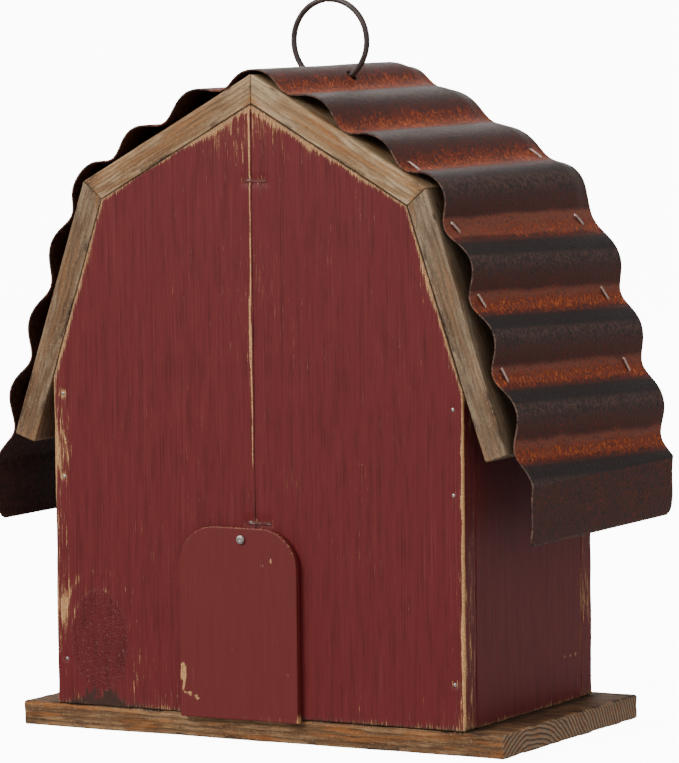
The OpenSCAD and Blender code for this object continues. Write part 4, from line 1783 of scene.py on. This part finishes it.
@dataclass
class Fasteners:
    """Every nail, brad and staple of the house, at the places the CAD gives them."""

    lines: HouseLines
    sheet: RoofSheet
    steel: Material
    painted_steel: Material
    rusty_steel: Material
    brad_d: float = 1.2
    brad_head_d: float = 1.5
    brad_len: float = 24.0
    nail_d: float = 2.0
    nail_head_d: float = 4.4
    nail_len: float = 26.0
    pivot_d: float = 1.8
    pivot_head_d: float = 3.6
    staple_turns: tuple[float, ...] = (-10.0, 45.0, 30.0, 20.0)
    first_valley: int = 2

    def gather(self, name: str, node: str, material: Material, maker: Lathe | Staple,
            spots: Sequence[Spot]) -> Piece:
        """Joins fasteners of one kind into one piece.

        Args:
            name: name of the piece.
            node: CAD node it stands for.
            material: its finish.
            maker: what makes one fastener.
            spots: where they are driven.

        Returns:
            The piece.
        """
        points, faces, count = [], [], 0
        for spot in spots:
            p, f = maker.make(spot)
            points.append(p)
            faces += [[i + count for i in face] for face in f]
            count += len(p)
        everything = np.concatenate(points)
        piece = make_piece(name, everything, faces, {"grain": everything}, 42.0, 0.0002)
        return place(piece, material, Body.HOUSE, Slot.FIXINGS, node)

    def brad(self) -> Lathe:
        """A brad with a slightly domed head.

        Returns:
            Its maker.
        """
        r, s = self.brad_head_d / 2, self.brad_d / 2
        tip = self.brad_len
        return Lathe([(r * 0.2, 0.0), (r * 0.7, 0.04), (r * 0.93, 0.14), (r, 0.30), (r * 0.97, 0.7),
            (s, 0.8), (s, tip - 2.0), (s * 0.2, tip)], 16)

    def walls(self, gable: GableWall) -> None:
        """Makes the brads and seam staples of one gable wall.

        Args:
            gable: the wall.
        """
        h = self.lines
        word = "back" if gable.cleanout else "front"
        face = h.back_y if gable.cleanout else h.front_y
        drive = vec(0.0, 1.0 if gable.cleanout else -1.0, 0.0)
        across = X_AXIS
        spots = [Spot(vec(side * (h.half_w - 4.5), face, z), drive, across) for side in (-1, 1)
            for z in gable.brad_heights]
        self.gather(f"{word}_brads", f"{word}_wall_brads", self.steel, self.brad(), spots)
        spots = [Spot(vec(gable.staple_x, face, z), drive, across) for z in gable.staple_heights]
        self.gather(f"{word}_staples", f"{word}_seam_staples", self.painted_steel, Staple(11.2, 8.0),
            spots)

    def base(self) -> None:
        """Makes the nails under the base."""
        h = self.lines
        r, s = self.nail_head_d / 2, self.nail_d / 2
        maker = Lathe([(r * 0.3, 0.0), (r * 0.85, 0.03), (r, 0.25), (r, 0.8), (s * 1.4, 1.2), (s, 1.6),
            (s, self.nail_len - 3.0), (s * 0.2, self.nail_len)], 24)
        inner, outer = 32.0, h.half_w - 18.0
        spots = [Spot(vec(side * x, y, 0.0), Z_AXIS, X_AXIS) for side in (-1, 1) for x in (inner, outer)
            for y in (h.back_y + h.wall_t / 2, h.front_y - h.wall_t / 2)]
        self.gather("nails_under_base", "base_nails", self.steel, maker, spots)

    def roof(self) -> None:
        """Makes the roof boards' brads and the sheet's staples."""
        h = self.lines
        brads, staples = [], []
        rows = (h.back_y + 10.0, h.deck_y - 4.5)
        for side in (-1, 1):
            for start, end, angle, shares in ((h.peak, h.knee, h.upper, (0.3, 0.78)),
                    (h.knee, h.eave, h.lower, (0.16, 0.5))):
                drive = vec(-side * math.sin(angle), 0.0, -math.cos(angle))
                for y in (h.back_y + h.wall_t / 2, h.front_y - h.wall_t / 2):
                    for share in shares:
                        x, z = start + share * (end - start)
                        brads.append(Spot(vec(side * x, y, z), drive, Y_AXIS))
            for y in rows:
                for k in range(self.first_valley, self.sheet.waves - 1):
                    staples.append(self.sheet_spot(side, y, k))
        self.gather("roof_brads", "roof_board_brads", self.steel, self.brad(), brads)
        self.gather("sheet_staples", "roof_sheet_staples", self.rusty_steel, Staple(7.0, 8.0), staples)

    def sheet_spot(self, side: int, y: float, valley: int) -> Spot:
        """Place of one staple in a valley of the laid sheet.

        Args:
            side: 1 for the +X slope, -1 for the other.
            y: place along the ridge.
            valley: number of the valley, counted from the ridge.

        Returns:
            The staple's spot.
        """
        s = (valley + 0.5) * self.sheet.pitch
        for _ in range(4):
            shift = self.sheet.skew(vec(s), vec(y), side)[0][0]
            s = (valley + 0.5) * self.sheet.pitch + shift
        middle, _ = self.sheet.middle(vec(s), vec(y), side)
        _, angle = self.sheet.valley(vec(s))
        a = float(angle[0])
        out = vec(side * math.sin(a), 0.0, math.cos(a))
        down = vec(side * math.cos(a), 0.0, -math.sin(a))
        t = math.radians(self.staple_turns[(valley - self.first_valley) % len(self.staple_turns)])
        crown = down * math.cos(t) + Y_AXIS * math.sin(t)
        sag = 3.5 * abs(math.cos(t))
        rise = self.sheet.wave_h * (1 - math.cos(2 * math.pi * sag / self.sheet.pitch)) / 2
        return Spot(middle[0] + out * (self.sheet.sheet_t / 2 + 0.55 + rise), -out, crown)

    def pivot(self) -> None:
        """Makes the cover's nail, with a ring and a dimple in its head."""
        low, high = corner("cover_pivot_nail", False), corner("cover_pivot_nail", True)
        x, z = (low[0] + high[0]) / 2, (low[2] + high[2]) / 2
        r, s, length = self.pivot_head_d / 2, self.pivot_d / 2, high[1] - low[1]
        maker = Lathe([(r * 0.05, 0.16), (r * 0.22, 0.10), (r * 0.34, 0.0), (r * 0.52, 0.06),
            (r * 0.74, 0.14), (r * 0.92, 0.34), (r, 0.62), (r * 0.97, 0.94), (s * 1.2, 1.0), (s, 1.1),
            (s, length - 1.6), (s * 0.3, length)], 32)
        spot = Spot(vec(x, low[1], z), Y_AXIS, X_AXIS)
        self.gather("pivot_nail", "cover_pivot_nail", self.steel, maker, [spot])


# ---------------------------------------------------------------------- studio


@dataclass(frozen=True)
class Lamp:
    """A soft square light that faces the house, in metres and watts."""

    name: str
    stand: tuple[float, float, float]
    side: float
    power: float
    colour: tuple[float, float, float] = (1.0, 0.99, 0.98)
    target: tuple[float, float, float] = (0.0, 0.0, 0.14)

    def build(self) -> None:
        """Adds the light to the scene."""
        data = bpy.data.lights.new(self.name, "AREA")
        data.size, data.energy, data.color = self.side, self.power, self.colour
        lamp = add_to_scene(self.name, data)
        lamp.location = self.stand
        aim = Vector(self.target) - Vector(self.stand)
        lamp.rotation_euler = aim.to_track_quat("-Z", "Y").to_euler()


@dataclass
class Studio:
    """Floor, lights and camera."""

    aim: tuple[float, float, float] = (5.61, 0.0, 137.33)
    distance: float = 2210.1
    yaw: float = 28.9309
    pitch: float = 5.1731
    roll: float = -0.6048
    focal: float = 293.72
    floor_half: float = 14.0
    sensor: float = 36.0
    ambient: float = 0.42
    sky: tuple[float, float, float, float] = (1.0, 0.985, 0.97, 1.0)
    lamps: tuple[Lamp, ...] = (
        Lamp("key", (-0.75, -1.5, 1.15), 0.9, 26.0, (1.0, 0.98, 0.95)),
        Lamp("fill", (1.5, -1.0, 0.5), 1.1, 3.0),
        Lamp("back", (-0.9, 1.5, 0.9), 1.0, 7.2),
        Lamp("top", (0.2, 0.1, 1.7), 0.9, 6.6, (1.0, 1.0, 1.0)),
    )

    def camera(self) -> None:
        """Makes the scene's camera."""
        yaw, pitch, roll = (math.radians(a) for a in (self.yaw, self.pitch, self.roll))
        forward = Vector((-math.sin(yaw) * math.cos(pitch), math.cos(yaw) * math.cos(pitch),
            -math.sin(pitch)))
        level = Vector((math.cos(yaw), math.sin(yaw), 0.0))
        up = level.cross(forward)
        right = math.cos(roll) * level + math.sin(roll) * up
        up = -math.sin(roll) * level + math.cos(roll) * up
        data = bpy.data.cameras.new("camera")
        data.lens, data.sensor_width = self.focal, self.sensor
        data.sensor_fit = "HORIZONTAL"
        data.clip_end = 60.0
        camera = add_to_scene("camera", data)
        turn = Matrix((right, up, -forward)).transposed().to_4x4()
        eye = Vector(self.aim) - self.distance * forward
        camera.matrix_world = Matrix.Translation(eye * MM) @ turn
        bpy.context.scene.camera = camera

    def build(self) -> None:
        """Makes the floor, the lights and the camera."""
        scene = bpy.context.scene
        h = self.floor_half
        mesh = bpy.data.meshes.new("floor")
        mesh.from_pydata([(-h, -h, 0), (h, -h, 0), (h, h, 0), (-h, h, 0)], [], [(0, 1, 2, 3)])
        mesh.materials.append(PaleFloor().build())
        floor = add_to_scene("floor", mesh)
        floor.visible_diffuse = floor.visible_glossy = False
        world = scene.world or bpy.data.worlds.new("world")
        scene.world = world
        world.use_nodes = True
        tree = world.node_tree
        tree.nodes.clear()
        soft = tree.nodes.new("ShaderNodeBackground")
        soft.inputs["Color"].default_value = self.sky
        soft.inputs["Strength"].default_value = self.ambient
        out = tree.nodes.new("ShaderNodeOutputWorld")
        tree.links.new(soft.outputs[0], out.inputs["Surface"])
        for lamp in self.lamps:
            lamp.build()
        self.camera()


def main() -> None:
    """Builds the house in order."""
    logging.basicConfig(level=logging.INFO, format="%(name)s %(message)s")
    Studio().build()
    lines = HouseLines()
    ring_y = float(corner("hanging_ring", False)[1] + corner("hanging_ring", True)[1]) / 2
    red = RedPaint().build()
    cover_red = RedPaint(name="cover_paint", paint="742827", pale_paint="7C302E", deep_paint="6C2423",
        grain_depth=0.03).build()
    woods = {
        "upper_left": dict(stain_share=0.42, pith=(-70.0, 20.0)),
        "upper_right": dict(wood="B28E66", pale_wood="D8BC94", glow="B8743C", glow_share=0.55,
                            stain_share=0.26, pith=(-75.0, 14.0)),
        "lower_left": dict(wood="85694E", pale_wood="A38A6E", stain_share=0.55, glow_share=0.25,
                           pith=(-72.0, 17.0)),
        "lower_right": dict(wood="8E775F", pale_wood="AC957A", stain_share=0.48, glow_share=0.25,
                            pith=(-70.0, 12.0)),
    }
    woods = {key: WeatheredWood(f"wood_{key}", **shades).build() for key, shades in woods.items()}
    base_wood = WeatheredWood("wood_base", wood="87603E", pale_wood="B98F63", glow="B86C2C",
        glow_share=0.6, stain_share=0.58, late_share=0.78, pith=(-34.0, 40.0), ring_width=2.0,
        wander=2.2, stain="362820").build()
    steel = BrightSteel().build()
    painted_steel = BrightSteel(name="painted_steel", steel="C7AFA8", paint_share=0.85).build()
    back = GableWall(lines, red, True, -6.6, 42.0, 20.0)
    front = GableWall(lines, red, False, 0.0, 156.0, 19.0)
    for gable in (back, front):
        gable.build()
    for side in (-1, 1):
        SideWall(lines, red, side).build()
    BaseBoard(lines, base_wood).build()
    RoofBoards(lines, woods, ring_y).build()
    sheet = RoofSheet(lines, RustedSheet().build(), ring_y)
    sheet.build()
    HangingRing(RingSteel().build()).build()
    CleanoutCover(cover_red).build()
    rusty_steel = BrightSteel(name="rusty_steel", steel="F2DCD2", tarnish="B89488", film="9A6048",
        paint_share=0.25).build()
    fasteners = Fasteners(lines, sheet, steel, painted_steel, rusty_steel)
    for gable in (back, front):
        fasteners.walls(gable)
    fasteners.base()
    fasteners.roof()
    fasteners.pivot()


if __name__ == "__main__":
    main()
